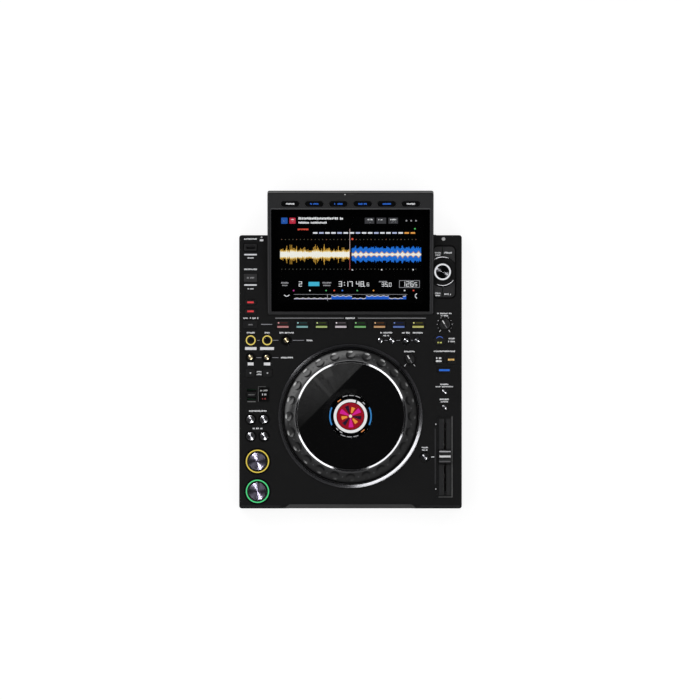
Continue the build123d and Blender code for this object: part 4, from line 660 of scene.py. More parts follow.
# %% [markdown]
# ## The touch screen
# Under the clear glass lie two layers: a black printed border, and behind it the picture. Both are drawn on
# the slope of the display, so the place function takes x, the distance up the slope and the height over the
# face, and turns them with the tilt. The picture is a player's usual one in general form: two zoomed
# waveforms on either side of a play position, a row of numbers, and a small overview of the whole track.

# %% A sheet on the display's slope
tilt = radians(15)
slope_foot = (51.315, 72.998)


def on_display(points):
    """x stays; y runs up the slope from its foot and z stands square to it; the result is in metres."""
    x, along, height = points.T
    y = slope_foot[0] + along * cos(tilt) - height * sin(tilt)
    z = slope_foot[1] + along * sin(tilt) + height * cos(tilt)
    return np.column_stack([x, y, z]) * mm


border = bars([
    (0, 11.9, 233.6, 12.8), (0, 154.8, 233.6, 11.4), (-112.0, 83.7, 9.6, 130.8), (112.0, 83.7, 9.6, 130.8)
])
mask = grained("glass_mask", 0.001, 0.002, (0.5, 0.6), 1.0, 0.001, gloss=0.0)
build("screen_border", [(*prisms(border, -1.63, -1.57), BLACK)], mask, "root", on_display)
# The light lines along the glass's top edge and the bezel's bevels are painted highlights; the dot and the
# short bar above are marks.
bezel_highlights_and_marks = [
    (bars([(0, 161.9, 235.4, 0.9)]), (0.11, 0.11, 0.115)),
    (bars([(-117.9, 83.0, 0.8, 156.0), (117.9, 83.0, 0.8, 156.0)]), (0.045, 0.045, 0.05)),
    (bars([(-121.2, 92.0, 0.7, 178.0), (121.2, 92.0, 0.7, 178.0)]), (0.055, 0.055, 0.06)),
    (discs([(-8.0, 183.6, 0.9)]), (0.75, 0.75, 0.75)),
    (bars([(1.0, 183.8, 8.0, 0.5)]), (0.06, 0.06, 0.06)),
]
build("bezel_painted_highlights_and_marks", [printed(*mark, 0.0) for mark in bezel_highlights_and_marks], ink, "root", place=on_display)

# %% Waveforms
wave_line, wave_step = 91.8, 0.8
played_span, coming_span = (-103.5, -0.6), (2.2, 104.0)


def wave(span, seed, rates):
    """Columns of one waveform: x along a span, and at each x a share of the full height: the mean of a few
    sines of these rates, and a random part that makes single columns stand out."""
    chance = np.random.default_rng(seed)
    x = np.arange(*span, wave_step)
    phases = chance.uniform(0, 2 * pi, len(rates))
    slow = (0.5 + 0.5 * np.sin(x[:, None] * np.array(rates) + phases)).mean(axis=1)
    spikes = chance.uniform(0, 1, len(x)) ** 2.5
    return x, np.clip(0.55 * slow + 0.6 * spikes, 0, 1)


def columns(x, half, line=wave_line, width=wave_step):
    """Outlines of bars that stand evenly about a line."""
    rows = np.zeros((len(x), 4))
    rows[:, 0], rows[:, 1], rows[:, 2], rows[:, 3] = x, line, width, 2 * half
    return bars(rows)


played_x, played = wave(played_span, 3, (0.13, 0.37, 0.9))
core = 0.62 + 0.38 * wave(played_span, 4, (0.21, 0.6))[1]
played = 4.8 + 11.0 * played**1.9
coming_x, coming = wave(coming_span, 8, (0.9, 1.9))
beat_length = 7.7
beat = (np.abs((coming_x / beat_length) % 1.0 - 0.5) * 2) ** 1.5
loudness = np.random.default_rng(5).uniform(0.5, 1.15, 20)[(coming_x / beat_length).astype(int)]
coming = 7.6 + 4.0 * coming + 4.2 * beat * np.random.default_rng(9).uniform(0.3, 1.0, len(coming))
pulse = beat * loudness
face = -2.9
print(len(played_x) + len(coming_x), "columns in the two waveforms")


# %% The waveforms' layers and the overview
def layer(outlines, number, tint):
    """One sheet of the screen's picture: each number lies a fiftieth of a millimetre above the one
    before."""
    return (*prisms(outlines, face + 0.02 * number, face + 0.02 * number + 0.02), tint)


slim = 0.66
waves = [
    layer(columns(played_x, played, width=slim), 0, (0.72, 0.40, 0.06)),
    layer(columns(played_x, np.minimum(played * 0.9, 8.0) * core), 1, (0.96, 0.76, 0.34)),
    layer(columns(played_x, np.minimum(played * 0.75, 5.6) * core), 2, (0.98, 0.97, 0.88)),
    layer(columns(coming_x, coming, width=slim), 0, (0.02, 0.20, 0.84)),
    layer(columns(coming_x, 1.6 + 4.4 * pulse), 1, (0.70, 0.38, 0.10)),
    layer(columns(coming_x, 0.9 + 3.0 * pulse), 2, (0.96, 0.93, 0.88)),
]
whole_x = np.arange(-83.0, 82.0, 0.8)
share = (whole_x + 83) / 165
loud = 1.0 + 3.6 * (np.sin(share * 19.0) > -0.35) * (share > 0.33) + 0.9 * np.sin(share * 61.0) ** 2
whole_tint = np.where(share[:, None] < 0.33, (0.30, 0.30, 0.50), (0.02, 0.12, 0.62))
floor_line = 23.4
waves.append(layer(columns(whole_x, loud / 2, floor_line + loud / 2), 0, whole_tint))
waves.append(layer(columns(whole_x, 0.45, floor_line + loud), 1, (0.80, 0.78, 0.78)))
build("screen_waveforms", waves, pixels, "root", on_display)

# %% Numbers in seven strokes
segments = {
    "a": (0, 1, 1, 0), "b": (0.5, 0.5, 0, 1), "c": (0.5, -0.5, 0, 1), "d": (0, -1, 1, 0),
    "e": (-0.5, -0.5, 0, 1), "f": (-0.5, 0.5, 0, 1), "g": (0, 0, 1, 0),
}
digit_parts = ["abcdef", "bc", "abged", "abgcd", "fgbc", "afgcd", "afgedc", "abc", "abcdefg", "abcfgd"]


def digits(number, x, y, height):
    """Outlines of a whole number in seven strokes a digit, centred on x and y."""
    figure = str(number)
    wide, stroke = height * 0.5, height * 0.12
    rows = []
    for place, sign in enumerate(figure):
        middle = x + (place - (len(figure) - 1) / 2) * height * 0.82
        for part in digit_parts[int(sign)]:
            right, up, flat_length, tall_length = segments[part]
            size = (wide * flat_length + stroke, height / 2 * tall_length + stroke * (1 - 0.5 * tall_length))
            rows.append((middle + right * wide, y + up * height / 2 * 0.9, *size))
    return bars(rows)


def dots(xs, y, radius):
    """Round spots of one size on one line."""
    return discs([(x, y, radius) for x in xs], 12)


# %% Read-outs and markers on the screen
GREY, CYAN, SCARLET, ORANGE = (0.34, 0.34, 0.36), (0.06, 0.50, 0.72), (0.85, 0.10, 0.06), (0.90, 0.38, 0.08)
PALE = (0.70, 0.80, 0.95)
dotted, tab_x = np.arange(-101.5, 100.0, 5.5), (28.0, 45.5, 63.0)
title_line = [
    (rounded([(-97.5, 143.2, 9.4, 9.4, 1.2)]), (0.02, 0.10, 0.42)),
    (rounded([(-85.5, 143.2, 9.0, 9.0, 1.2)]), (0.55, 0.03, 0.06)),
    (discs([(-97.5, 144.4, 2.0)]), PALE), (bars([(-97.5, 140.4, 5.6, 2.0)]), PALE),
    (arcs([(-85.5, 142.4, 0.0, 3.4, 20, 160)]), (0.90, 0.70, 0.70)),
    (text((-44.0, 146.6, 66.0, 3.4), (-56.0, 140.2, 42.0, 2.8)), WHITE),
    (bars([(x, 143.2, 14.0, 9.0) for x in tab_x]), (0.05, 0.05, 0.055)),
    (text(*[(x, 145.0, 9.0, 2.2) for x in tab_x]), WHITE),
    (text(*[(x, 141.2, 8.0, 1.8) for x in tab_x]), GREY),
    (dots([82.5, 89.5, 96.5], 143.2, 1.3), GREY), (text((-70.0, 130.0, 16.0, 2.4)), SCARLET),
    (dots([95.0], 131.0, 1.2), (0.10, 0.60, 0.14)),
]
wave_marks = [
    (bars([(-1.0, 82.0, 0.7, 27.0)]), (0.50, 0.10, 0.10)),
    (bars([(-1.0, 113.0, 0.6, 35.0)]), (0.75, 0.55, 0.52)),
    (dots([2.8], 115.2, 1.6), SCARLET), (dots([2.8, 46.0, 92.5], 68.6, 1.1), WHITE),
    (dots(dotted, 114.6, 0.62), (0.13, 0.12, 0.08)), (dots(dotted, 69.4, 0.62), (0.11, 0.11, 0.09)),
    (dots(dotted[::4], 114.6, 0.75), (0.36, 0.09, 0.05)),
]
number_line = [
    (digits(2, -74.0, 46.8, 7.6), WHITE), (text((-97.0, 48.6, 11.0, 2.4), (-97.0, 44.6, 8.0, 1.8)), GREY),
    (bars([(-54.0, 46.8, 16.0, 6.4)]), CYAN),
    (text((-35.0, 48.6, 13.0, 2.2), (-35.0, 44.6, 11.0, 2.0)), GREY),
    (digits(3, -15.0, 46.8, 8.0), WHITE), (digits(17, -2.6, 46.8, 8.0), WHITE),
    (digits(48, 14.0, 46.8, 8.0), WHITE), (digits(6, 25.8, 46.0, 5.4), WHITE),
    (bars([(-9.0, 48.9, 1.3, 1.3), (-9.0, 45.0, 1.3, 1.3), (20.9, 43.3, 1.3, 1.3)]), WHITE),
    (text((48.0, 50.4, 12.0, 1.8)), GREY), (digits(35, 50.4, 45.8, 6.0), WHITE),
    (digits(0, 58.6, 45.8, 6.0), WHITE), (bars([(55.0, 43.3, 1.1, 1.1)]), WHITE),
    (bars([
        (87.0, 52.0, 30.0, 0.7), (87.0, 41.4, 30.0, 0.7), (72.2, 46.7, 0.7, 10.6), (101.8, 46.7, 0.7, 10.6),
    ]), GREY),
    (digits(126, 84.6, 46.8, 7.6), WHITE), (bars([(91.4, 43.2, 1.2, 1.2)]), WHITE),
    (digits(5, 96.4, 46.4, 6.0), WHITE),
    (scale_ticks((-94.2, 27.4), 0.4, [145, 35], 4.4, 1.2), WHITE),
    (scale_ticks((94.8, 28.6), 0.8, [50, -50], 4.2, 1.2), WHITE),
    (bars([(0.0, 30.9, 168.0, 0.5), (-34.0, 26.0, 0.9, 9.6)]), GREY),
]
MAGENTA, LEAF, SKY = (0.62, 0.06, 0.34), (0.10, 0.50, 0.16), (0.06, 0.22, 0.75)
cue_dots = [
    (-84, MAGENTA), (-60, WHITE), (-36, LEAF), (-24, SCARLET), (-12, SKY), (10, LEAF), (34, ORANGE),
    (80, WHITE), (93, SCARLET),
]
cue_marks = [(dots([x], 36.8, 1.15), tone) for x, tone in cue_dots]
phase = bars([(-52 + 9.0 * n, 124.6, 6.6, 2.4) for n in range(17)])
phase_tint = np.array([(0.85, 0.87, 0.92), (0.50, 0.56, 0.80)])[np.arange(17) % 3 % 2]
phase_tint[15:] = ORANGE
read_outs = title_line + wave_marks + number_line + cue_marks + [(phase, phase_tint)]
parts = [printed(outlines, colour, face, 0.07, 0.1) for outlines, colour in read_outs]
build("screen_read_outs", parts, pixels, "root", on_display)

# %% Lit bars in the keys over the screen
key_x = 35.6 * (np.arange(6) - 2.5)
key_lights = []
for x, colour in zip(key_x, [WHITE, BLUE, BLUE, BLUE, BLUE, WHITE]):
    key_lights.append((*prisms(bars(words(x, 169.5, 12.5, 2.3, int(x + 200))), 0.5, 0.66), colour))
build("display_key_lights", key_lights, lamp, "display_keys", on_display)

# %% [markdown]
# ## The jog wheel
# The platter's top is lacquered and has fine grooves, like a record, which show only where a lamp is
# reflected. A wavy surface would blur the reflection, so the profile is flat lands with narrow grooves
# between them, and the faces stay flat shaded. Thin bright rings frame it: a bevel and a bead that turn
# with the wheel, and a collar that stays on the deck.

# %% Platter with its grooves
jog_at = (0.0, -98.1)
groove_pitch, groove_width, groove_depth = 1.5, 0.3, 0.03
platter_inner, platter_outer = 33.2, 79.0


def platter_profile(low, high):
    """The outline of half the platter's section. Its top is level, and every pitch a groove goes down and
    up again within its width."""
    inner, outer = platter_inner, platter_outer
    starts = np.arange(outer - 1.2, inner + 1.0, -groove_pitch)
    steps = np.array([(0, 0), (-groove_width / 2, -groove_depth), (-groove_width, 0)])
    top = np.column_stack([starts, np.full(len(starts), high)])[:, None] + steps
    corner = [(inner, low), (outer, low), (outer, high - 0.35), (outer - 0.3, high)]
    return [*corner, *top.reshape(-1, 2), (inner, high)]


low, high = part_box("jog_platter")
section = platter_profile(low.z / mm, high.z / mm)
platter = build("platter_rings", [(*lathe(section, jog_at, 192), BLACK)], slots["platter"], "jog")
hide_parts("jog_platter")


# %% Bright rings, and the dots between the dimples
def jog_round(name, section, finish, body, turns=192):
    """A smooth ring round the jog wheel's axis, from its section."""
    build(name, [(*lathe(section, jog_at, turns), BLACK)], finish, body, smooth=True)


trim = grained(
    "polished_trim", (0.62, 0.62, 0.64), (0.74, 0.74, 0.76), (0.07, 0.11), 1.2, 0.0005, Metallic=1.0
)
satin = grained(
    "satin_collar", (0.20, 0.20, 0.21), (0.26, 0.26, 0.27), (0.22, 0.28), 1.2, 0.0005, Metallic=1.0
)
dark_bead = grained("dark_bead", 0.045, 0.06, (0.45, 0.55), 0.6, 0.001, gloss=0.1)
matt_black = grained("matt_skirt", 0.001, 0.002, (0.7, 0.8), 0.6, 0.01, gloss=0.0)
seat_top, platter_low = 84.55, low.z / mm
seat = [(32.0, platter_low), (33.15, platter_low), (33.15, seat_top), (32.0, seat_top)]
jog_round("window_seat", seat, slots["jog_plastic"], "jog", 96)
bevel = [(79.3, 86.6), (81.7, 87.7), (81.7, 87.9), (79.3, 87.02)]
jog_round("platter_trim", bevel, trim, "jog")
bead_line = [(82.4, 87.8), (84.0, 87.8), (84.0, 88.02), (83.2, 88.14), (82.4, 88.08)]
jog_round("platter_bead", bead_line, dark_bead, "jog")
collar_slope = [(101.8, 73.9), (106.3, 73.9), (106.3, 74.05), (105.5, 74.65), (101.8, 76.75)]
jog_round("jog_collar", collar_slope, satin, "root")
skirt = [(98.6, 84.9), (100.2, 80.2), (101.5, 78.0), (101.62, 78.0), (100.35, 80.35), (98.75, 85.05)]
jog_round("jog_skirt", skirt, matt_black, "jog")
dimples, stud_circle = 24, 90.3
turn = (np.arange(dimples) + 0.5) * 2 * pi / dimples + pi / 2
stud_x, stud_y = stud_circle * np.cos(turn), jog_at[1] + stud_circle * np.sin(turn)
studs = discs(np.column_stack([stud_x, stud_y, np.full(dimples, 1.0)]), 14)
build("jog_studs", [(*prisms(studs, 87.1, 87.38), (0.07, 0.07, 0.075))], ink, "jog")

# %% Picture on the round screen in the wheel
x0, y0 = jog_at
picture_base = 84.24
jog_parts = [
    (arcs([(x0, y0, 29.4, 31.4, -25, 25), (x0, y0, 29.4, 31.4, 155, 205)]), (0.05, 0.26, 0.62)),
    (arcs([(x0, y0, 30.2, 31.0, a, a + 14) for a in (62, 80, 98, 242, 260, 278)]), (0.60, 0.60, 0.62)),
    (arcs([(x0, y0, 27.6, 29.0, a, a + 12) for a in (120, 304)]), (0.85, 0.30, 0.10)),
    (arcs([(x0, y0, 27.0, 28.0, a, a + 9) for a in (40, 220, 235)]), (0.70, 0.70, 0.72)),
    (arcs([(x0, y0, 20.8, 24.9, 70, 425)], 96), (0.92, 0.92, 0.92)),
    (discs([(x0, y0, 20.0)], 96), (0.32, 0.008, 0.018)),
]
jog_picture = [printed(outlines, colour, picture_base, 0.0, 0.03) for outlines, colour in jog_parts]
petals = np.linspace(20, 380, 10)[:-1]
fans = [
    (0.6, 16.5, 26, (0.72, 0.02, 0.30)), (5.0, 13.5, 24, (0.90, 0.34, 0.05)),
    (3.0, 16.0, 22, (0.02, 0.01, 0.03)),
]
for first, (inner, outer, wide, colour) in enumerate(fans):
    fan = arcs([(x0, y0, inner, outer, a, a + wide) for a in petals[first::3]], 8)
    jog_picture.append(printed(fan, colour, picture_base, 0.03, 0.06))
jog_picture.append(printed(discs([(x0, y0, 2.4)], 24), (0.92, 0.80, 0.62), picture_base, 0.06, 0.08))
build("jog_picture", jog_picture, pixels, "root")

# %% [markdown]
# ## Selector, knobs, lever and tempo slider
# Each control has a pointer or a print that turns or slides with it. The pieces ride on the bodies of their
# controls, and what is printed round them stays on the deck.

# %% Selector knob: lit rim, turned centre, and beads round the wells
selector_at = (136.0, 115.0)
knob_top = top_of("selector_knob")
rim = [(9.9, knob_top - 0.1), (12.2, knob_top - 0.1), (12.2, knob_top + 0.1), (9.9, knob_top + 0.1)]
lit_rim = (*lathe(rim, selector_at, 96), (0.88, 0.89, 0.92))
build("selector_ring", [lit_rim], lamp, "selector_knob")
caps("selector_cap", [(*selector_at, knob_top - 0.45, 9.6)], black_cap, "selector_knob")


def bead(centre, radius, width, sector=None):
    """A low ring on the deck whose faces slope at eleven degrees, inwards and outwards, from a ridge in the
    middle of its width."""
    foot, shoulder = deck - 0.02, deck + 0.03
    ridge = (radius + width / 2, shoulder + width / 2 * sin(radians(11)))
    section = [(radius, foot), (radius + width, foot), (radius + width, shoulder), ridge, (radius, shoulder)]
    return (*lathe(section, centre, 48, sector), BLACK)


arcs_round_it = [bead(selector_at, 19.8, 2.6, (66, 142)), bead(selector_at, 19.8, 2.6, (246, 322))]
selector_arcs = build("selector_arcs", arcs_round_it, trim, "root", smooth=True)
well_beads = [
    bead(reset_at, 5.4, 1.6), bead(reloop_at, 7.5, 1.2, (-75, 15)), bead(memory_at[0], 6.5, 1.1),
]
build("well_beads", well_beads, satin, "root", smooth=True)

# %% Pointers on the two small knobs, with a painted glint
for node, centre in (("vinyl_speed_knob", vinyl_at), ("jog_adjust_knob", adjust_at)):
    top = top_of(node)
    # Both arms lie along the turned top's glint: the white one is the pointer and a painted highlight at
    # once, the grey one opposite only a painted highlight.
    pointer_and_glint_arm = scale_ticks(centre, 0.6, [120], 6.0, 1.5)
    glint_arm = scale_ticks(centre, 0.6, [300], 5.4, 1.1)
    parts = [printed(pointer_and_glint_arm, (0.9, 0.9, 0.9), top, -0.1, 0.08)]
    parts.append(printed(glint_arm, (0.22, 0.22, 0.23), top, -0.1, 0.06))
    build(node + "_pointer_and_glint", parts, ink, node)
print("selector top", knob_top)

# %% Labels on the browse keys and the lever's panel
browse_labels = text(
    (129.0, 143.4, 9.0, 2.0), (129.0, 139.9, 8.0, 2.0), (144.0, 143.4, 12.0, 2.4),
    (129.0, 83.6, 8.0, 2.0), (129.0, 80.2, 7.0, 2.0), (143.6, 82.0, 10.0, 2.4),
)
mark_key("browse_keys", [(browse_labels, WHITE)], ink)
panel_print = [
    (text((-128.0, -60.4, 11.0, 2.1)), (0.6, 0.6, 0.6)), (text((-127.6, -66.2, 6.4, 2.4)), WHITE),
    (text((-127.8, -72.4, 5.6, 2.2)), (0.42, 0.05, 0.05)),
    (bars([(-136.3, -65.6, 0.7, 21.6), (-130.8, -54.6, 11.6, 0.6)]), (0.14, 0.14, 0.14)),
]
panel_marks = [printed(rounded([(-127.6, -66.0, 16.0, 21.6, 1.5)]), (0.0015, 0.0015, 0.0015), high=0.04)]
panel_marks += [printed(outlines, colour, low=0.0, high=0.07) for outlines, colour in panel_print]
build("lever_panel", panel_marks, ink, "root")
# The light grey bar across the lever is a painted highlight on its ridge.
mark_key("direction_lever", [(bars([(-146.3, -66.5, 9.4, 1.5)]), (0.12, 0.12, 0.12))], ink)

# %% Strips on the slider's plate with painted highlights on its recess edges, and bands on its cap: a printed line and painted ridge highlights
plate_strips_and_edge_highlights = [
    (bars([(133.9, -158.5, 6.0, 113.0), (144.9, -158.5, 6.2, 113.0)]), (0.019, 0.019, 0.020)),
    (bars([(137.0, -158.5, 0.9, 113.0)]), (0.06, 0.06, 0.06)),
    # The two light lines along the recess's right and front edges are painted highlights.
    (bars([(150.1, -158.3, 1.1, 119.6)]), (0.15, 0.15, 0.15)),
    (bars([(139.9, -217.6, 19.4, 1.0)]), (0.11, 0.11, 0.11)),
]
build("fader_plate_print_and_highlights", [printed(*strip, top_of("fader_plate")) for strip in plate_strips_and_edge_highlights], ink, "root")
cap_x, cap_y = slider_at
# The white band in the middle is the cap's printed line; the grey bands on the two ridges are painted
# highlights.
cap_line_and_ridge_highlights = [
    (8.1, 1.9, (0.50, 0.50, 0.52), -1.2, 0.05), (0.9, 3.0, (0.80, 0.80, 0.81), -1.5, 0.08),
    (-6.6, 2.1, (0.10, 0.10, 0.105), -1.2, 0.05),
]
cap_line_and_highlight_parts = []
for ahead, width, tone, low, high in cap_line_and_ridge_highlights:
    outline = bars([(cap_x, cap_y + ahead, 16.6, width)])
    cap_line_and_highlight_parts.append(printed(outline, tone, top_of("tempo_slider"), low, high))
build("tempo_slider_line_and_highlights", cap_line_and_highlight_parts, ink, "tempo_slider")

# %% [markdown]
# ## The back of the case
# The panel at the back carries the jacks. Their shells are one group of parts in the frame, black plastic
# with bright barrels, so the metal is chosen by the distance to each barrel. A printed name by each jack is
# reduced to strokes, as on the deck.

# %% Print beside the jacks
panel_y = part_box("rear_panel")[1].y / mm
barrel_height = 24.2


def on_back(points):
    """x runs as on the deck, y is the height over the table, and z stands out of the rear panel."""
    x, height, out = points.T
    return np.column_stack([x, panel_y + out, height]) * mm


back_labels = text(
    (-89.0, 33.4, 22.0, 2.0), (-56.0, 33.4, 16.0, 2.0), (-24.0, 36.4, 12.0, 2.0), (8.0, 36.4, 10.0, 2.0),
    (48.0, 44.0, 12.0, 2.0), (110.0, 45.0, 14.0, 2.0), (-130.8, 48.0, 8.0, 1.8),
)
rings = arcs([(x, barrel_height, 5.2, 6.4, 0, 359.9) for x in (-98.0, -80.0)], 40)
back_marks = [(back_labels, WHITE), (rings[:1], (0.62, 0.03, 0.03)), (rings[1:], (0.75, 0.75, 0.75))]
# Seen from behind, an outline has to run the other way round.
back_print = [printed(outlines[:, ::-1], colour, 0.0) for outlines, colour in back_marks]
build("rear_print", back_print, ink, "root", place=on_back)


# %% Jack shells: metal barrels in black plastic
def near(tree, centre, reach):
    """1 within this reach of a point in Object coordinates, else 0."""
    gap = add(tree, "VectorMath", add(tree, "TexCoord").outputs["Object"], centre)
    gap.operation = "DISTANCE"
    return reckon(tree, "LESS_THAN", gap.outputs["Value"], reach)


def jack_finish(barrels, reach):
    """Black plastic that turns to plated metal within reach of a barrel's middle."""
    material, tree, shader = bare("jack_shells")
    where = near(tree, barrels[0], reach)
    for centre in barrels[1:]:
        where = reckon(tree, "MAXIMUM", where, near(tree, centre, reach))
    fine = noise(tree, 0.6 * mm)
    plastic = blend_colours(tree, fine, grey(0.008), grey(0.014))
    metal = blend_colours(tree, fine, (0.55, 0.53, 0.48), (0.68, 0.66, 0.60))
    fill(tree, shader, {
        "Base Color": blend_colours(tree, where, plastic, metal), "Metallic": where,
        "Roughness": spread(tree, noise(tree, 3 * mm), 0.22, 0.42),
    })
    return material


barrels = [(x * mm, panel_y * mm + 0.004, barrel_height * mm) for x in (-98.0, -80.0, -56.0)]
give("rear_jacks", jack_finish(barrels, 5.4 * mm))
print("jack barrels at", barrels)

# %% [markdown]
# ## Studio
# The player is black and glossy, so what it reflects matters more than what falls on it. Two large lamps
# light what is matt and stay out of the reflections. Cards that only gloss sees stand where each bevel
# looks, and light linking works as a hood on each: the glint card shines on the turned caps alone, the
# collar's cards on the collar, and so on. The cards for the wheel's trim leave out the screen's glass,
# which would show them as specks. Straight above there is nothing, so flat gloss stays black, apart from
# level cards close over the wheel that put a soft sheen on the platter, the dimples and the ring. The floor
# is white by itself, with a thin share of matt that keeps the shadow.

# %% The floor's material
def unshaded(name):
    """A material whose node tree is empty; gives the material and the tree."""
    material = bpy.data.materials.new(name)
    material.use_nodes = True
    material.node_tree.nodes.clear()
    return material, material.node_tree


def white_floor():
    """Matt white for scattered light. The camera, gloss and glass see mostly a white of its own."""
    material, tree = unshaded("studio_floor")
    kinds = add(tree, "LightPath")
    seen = kinds.outputs["Is Camera Ray"]
    for kind in ("Is Glossy Ray", "Is Transmission Ray"):
        seen = reckon(tree, "MAXIMUM", seen, kinds.outputs[kind])
    matt = add(tree, "BsdfDiffuse", (0.8, 0.8, 0.8)).outputs[0]
    thin = add(tree, "BsdfDiffuse", (0.25, 0.25, 0.25)).outputs[0]
    own = add(tree, "Emission", Strength=0.86).outputs[0]
    both = add(tree, "AddShader", thin, own).outputs[0]
    add(tree, "OutputMaterial", add(tree, "MixShader", seen, matt, both).outputs[0])
    return material


# %% Floor and world
def sheet(name, points, faces, material):
    """A flat mesh of the studio."""
    mesh = bpy.data.meshes.new(name)
    mesh.from_pydata(points, [], faces)
    mesh.materials.append(material)
    made = bpy.data.objects.new(name, mesh)
    bpy.context.collection.objects.link(made)
    return made


reach = 40.0
corners = [(-reach, -reach, 0), (reach, -reach, 0), (reach, reach, 0), (-reach, reach, 0)]
floor = sheet("floor", corners, [(0, 1, 2, 3)], white_floor())

world = bpy.data.worlds.new("studio")
bpy.context.scene.world = world
world.use_nodes = True
sky = world.node_tree
upward = add(sky, "SeparateXYZ", add(sky, "TexCoord").outputs["Generated"]).outputs["Z"]
ramp = add(sky, "ValToRGB", upward)
horizon, overhead = ramp.color_ramp.elements
horizon.position, horizon.color = 0.0, (0.55, 0.55, 0.56, 1)
overhead.position, overhead.color = 0.42, (0.012, 0.012, 0.013, 1)
fill(sky, sky.nodes["Background"], {"Color": ramp.outputs[0]})
print("floor and world ready")


# %% Lamps and their hoods
def softbox(name, azimuth, off, distance, size, radiance, only=None):
    """A rectangular lamp this many degrees off the vertical that faces the wheel. Its power is pi x area x
    radiance. The first size runs level, the second up and down. Only says whether just matt or just gloss
    sees it."""
    data = bpy.data.lights.new(name, "AREA")
    data.shape = "RECTANGLE"
    data.size, data.size_y = size[1], size[0]
    data.energy = pi * size[0] * size[1] * radiance
    box = bpy.data.objects.new(name, data)
    bpy.context.collection.objects.link(box)
    turn, lean = radians(azimuth), radians(off)
    side = distance * sin(lean)
    box.location = (side * cos(turn), side * sin(turn) + jog_at[1] * mm, distance * cos(lean))
    box.rotation_euler = (0, lean, turn)
    box.visible_camera = False
    box.visible_glossy = only != "matt"
    box.visible_transmission = only != "matt"
    box.visible_diffuse = only != "gloss"
    return box


def shine_on(light, pieces, all_but=False):
    """Light linking, as a hood does it: the light falls only on these pieces, or with all_but on the rest."""
    group = bpy.data.collections.new(light.name + "_hood")
    for piece in pieces:
        group.objects.link(piece)
    if all_but:
        for entry in group.collection_objects:
            entry.light_linking.link_state = "EXCLUDE"
    light.light_linking.receiver_collection = group


wheel, glass = [frame["nodes"]["jog_ring"]], [frame["nodes"]["touch_glass"]]
collar = [bpy.data.objects["jog_collar"]]
small_caps = [piece for piece in capped if piece.data.materials[0] != bright_cap]
softbox("ceiling", 0, 0, 2.6, (2.4, 2.4), 2.8, "matt")
softbox("window", 125, 48, 2.4, (1.2, 1.2), 1.8, "matt")
trim_off, trim_distance, trim_size = 36.5, 1.81, (0.95, 0.42)
for azimuth, radiance in ((45, 2.1), (135, 1.5), (225, 2.1), (315, 1.9)):
    name = f"ring_card_{azimuth}"
    ring_card = softbox(name, azimuth, trim_off, trim_distance, trim_size, radiance, "gloss")
    shine_on(ring_card, wheel + small_caps + glass, all_but=True)
shine_on(softbox("glint_card", 129, 22.0, 1.85, (0.24, 0.36), 56.0, "gloss"), capped)
shine_on(softbox("arc_card", 112, 22, 1.85, (1.3, 0.4), 1.8, "gloss"), [selector_arcs])
shine_on(softbox("collar_card", 311, 60, 1.9, (2.3, 0.4), 6.5, "gloss"), collar)
shine_on(softbox("collar_spot", 135, 73, 1.9, (0.45, 0.3), 3.0, "gloss"), collar)
print(len(bpy.data.lights), "lamps")


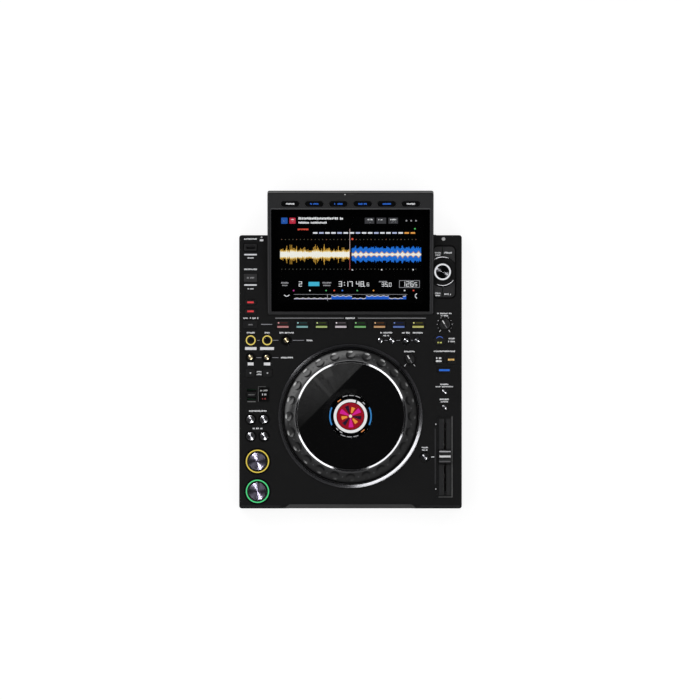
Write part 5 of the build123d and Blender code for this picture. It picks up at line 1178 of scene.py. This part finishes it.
# %% Level cards over the wheel
def sheen_card(name, points, faces, ramps, pieces):
    """A level card that only gloss on these pieces sees, and that is clear to what lies behind it. Its glow
    is a product of ramps in Object coordinates: each runs in one direction, given in degrees, from its
    first to its second strength between two distances in millimetres."""
    material, tree = unshaded(name)
    fades = []
    for way, near_end, far_end, first, second in ramps:
        place = add(tree, "TexCoord").outputs["Object"]
        run = add(tree, "VectorMath", place, (cos(radians(way)), sin(radians(way)), 0))
        run.operation = "DOT_PRODUCT"
        limits = dict(From_Min=near_end * mm, From_Max=far_end * mm, To_Min=first, To_Max=second)
        fades.append(add(tree, "MapRange", run.outputs["Value"], **limits).outputs[0])
    strength = fades[0]
    for fade in fades[1:]:
        strength = reckon(tree, "MULTIPLY", strength, fade)
    glow = add(tree, "Emission", Strength=strength).outputs[0]
    through = add(tree, "BsdfTransparent").outputs[0]
    add(tree, "OutputMaterial", add(tree, "AddShader", glow, through).outputs[0])
    card = sheet(name, (points * mm).tolist(), [face[::-1] for face in faces], material)
    card.visible_camera = False
    card.visible_diffuse = False
    card.visible_transmission = False
    card.visible_shadow = False
    shine_on(card, pieces)


card_height, card_shift = 185.0, 1.006  # the shift keeps the cards on the line from the wheel to the camera


def polar(radius, turn):
    """Points over the jog wheel at the cards' height, at a radius in millimetres and angles in degrees."""
    turn = np.radians(turn)
    y = jog_at[1] * card_shift + radius * np.sin(turn)
    return np.column_stack([radius * np.cos(turn), y, np.full(len(turn), card_height)])


def annulus(inner, outer, count=96):
    """A flat ring over the jog wheel: its points and its faces."""
    around = np.arange(count) * 360 / count
    step = np.arange(count)
    faces = np.stack([step, step + count, np.roll(step, -1) + count, np.roll(step, -1)], axis=1)
    return np.concatenate([polar(inner, around), polar(outer, around)]), faces.tolist()


middle = jog_at[1] * sin(radians(130))
inner_ramp = (130, middle - 66, middle + 66, 0.2, 1.9)
outer_ramp = (131, middle + 85, middle + 107, 0.11, 0.95)
segment = polar(81.5, np.linspace(75.5, 194.5, 40))
sheen_card("platter_sheen", segment, [list(range(40))], [(97, -112, -38, 0.04, 1.25)], [platter])
sheen_card("dimple_sheen", *annulus(38, 87), [inner_ramp, inner_ramp], wheel)
sheen_card("band_sheen", *annulus(90, 170), [outer_ramp], wheel)
print("cards over the wheel at", card_height, "mm")

# %% Camera
camera_data = bpy.data.cameras.new("camera")
camera_data.lens = 500
camera_data.sensor_width = 36
camera_data.clip_end = 100
camera = bpy.data.objects.new("camera", camera_data)
bpy.context.collection.objects.link(camera)
camera.location = (-0.00074, -0.00037, 14.44)
bpy.context.scene.camera = camera
bpy.context.scene.view_settings.view_transform = "Standard"
print("camera", camera.location[:])
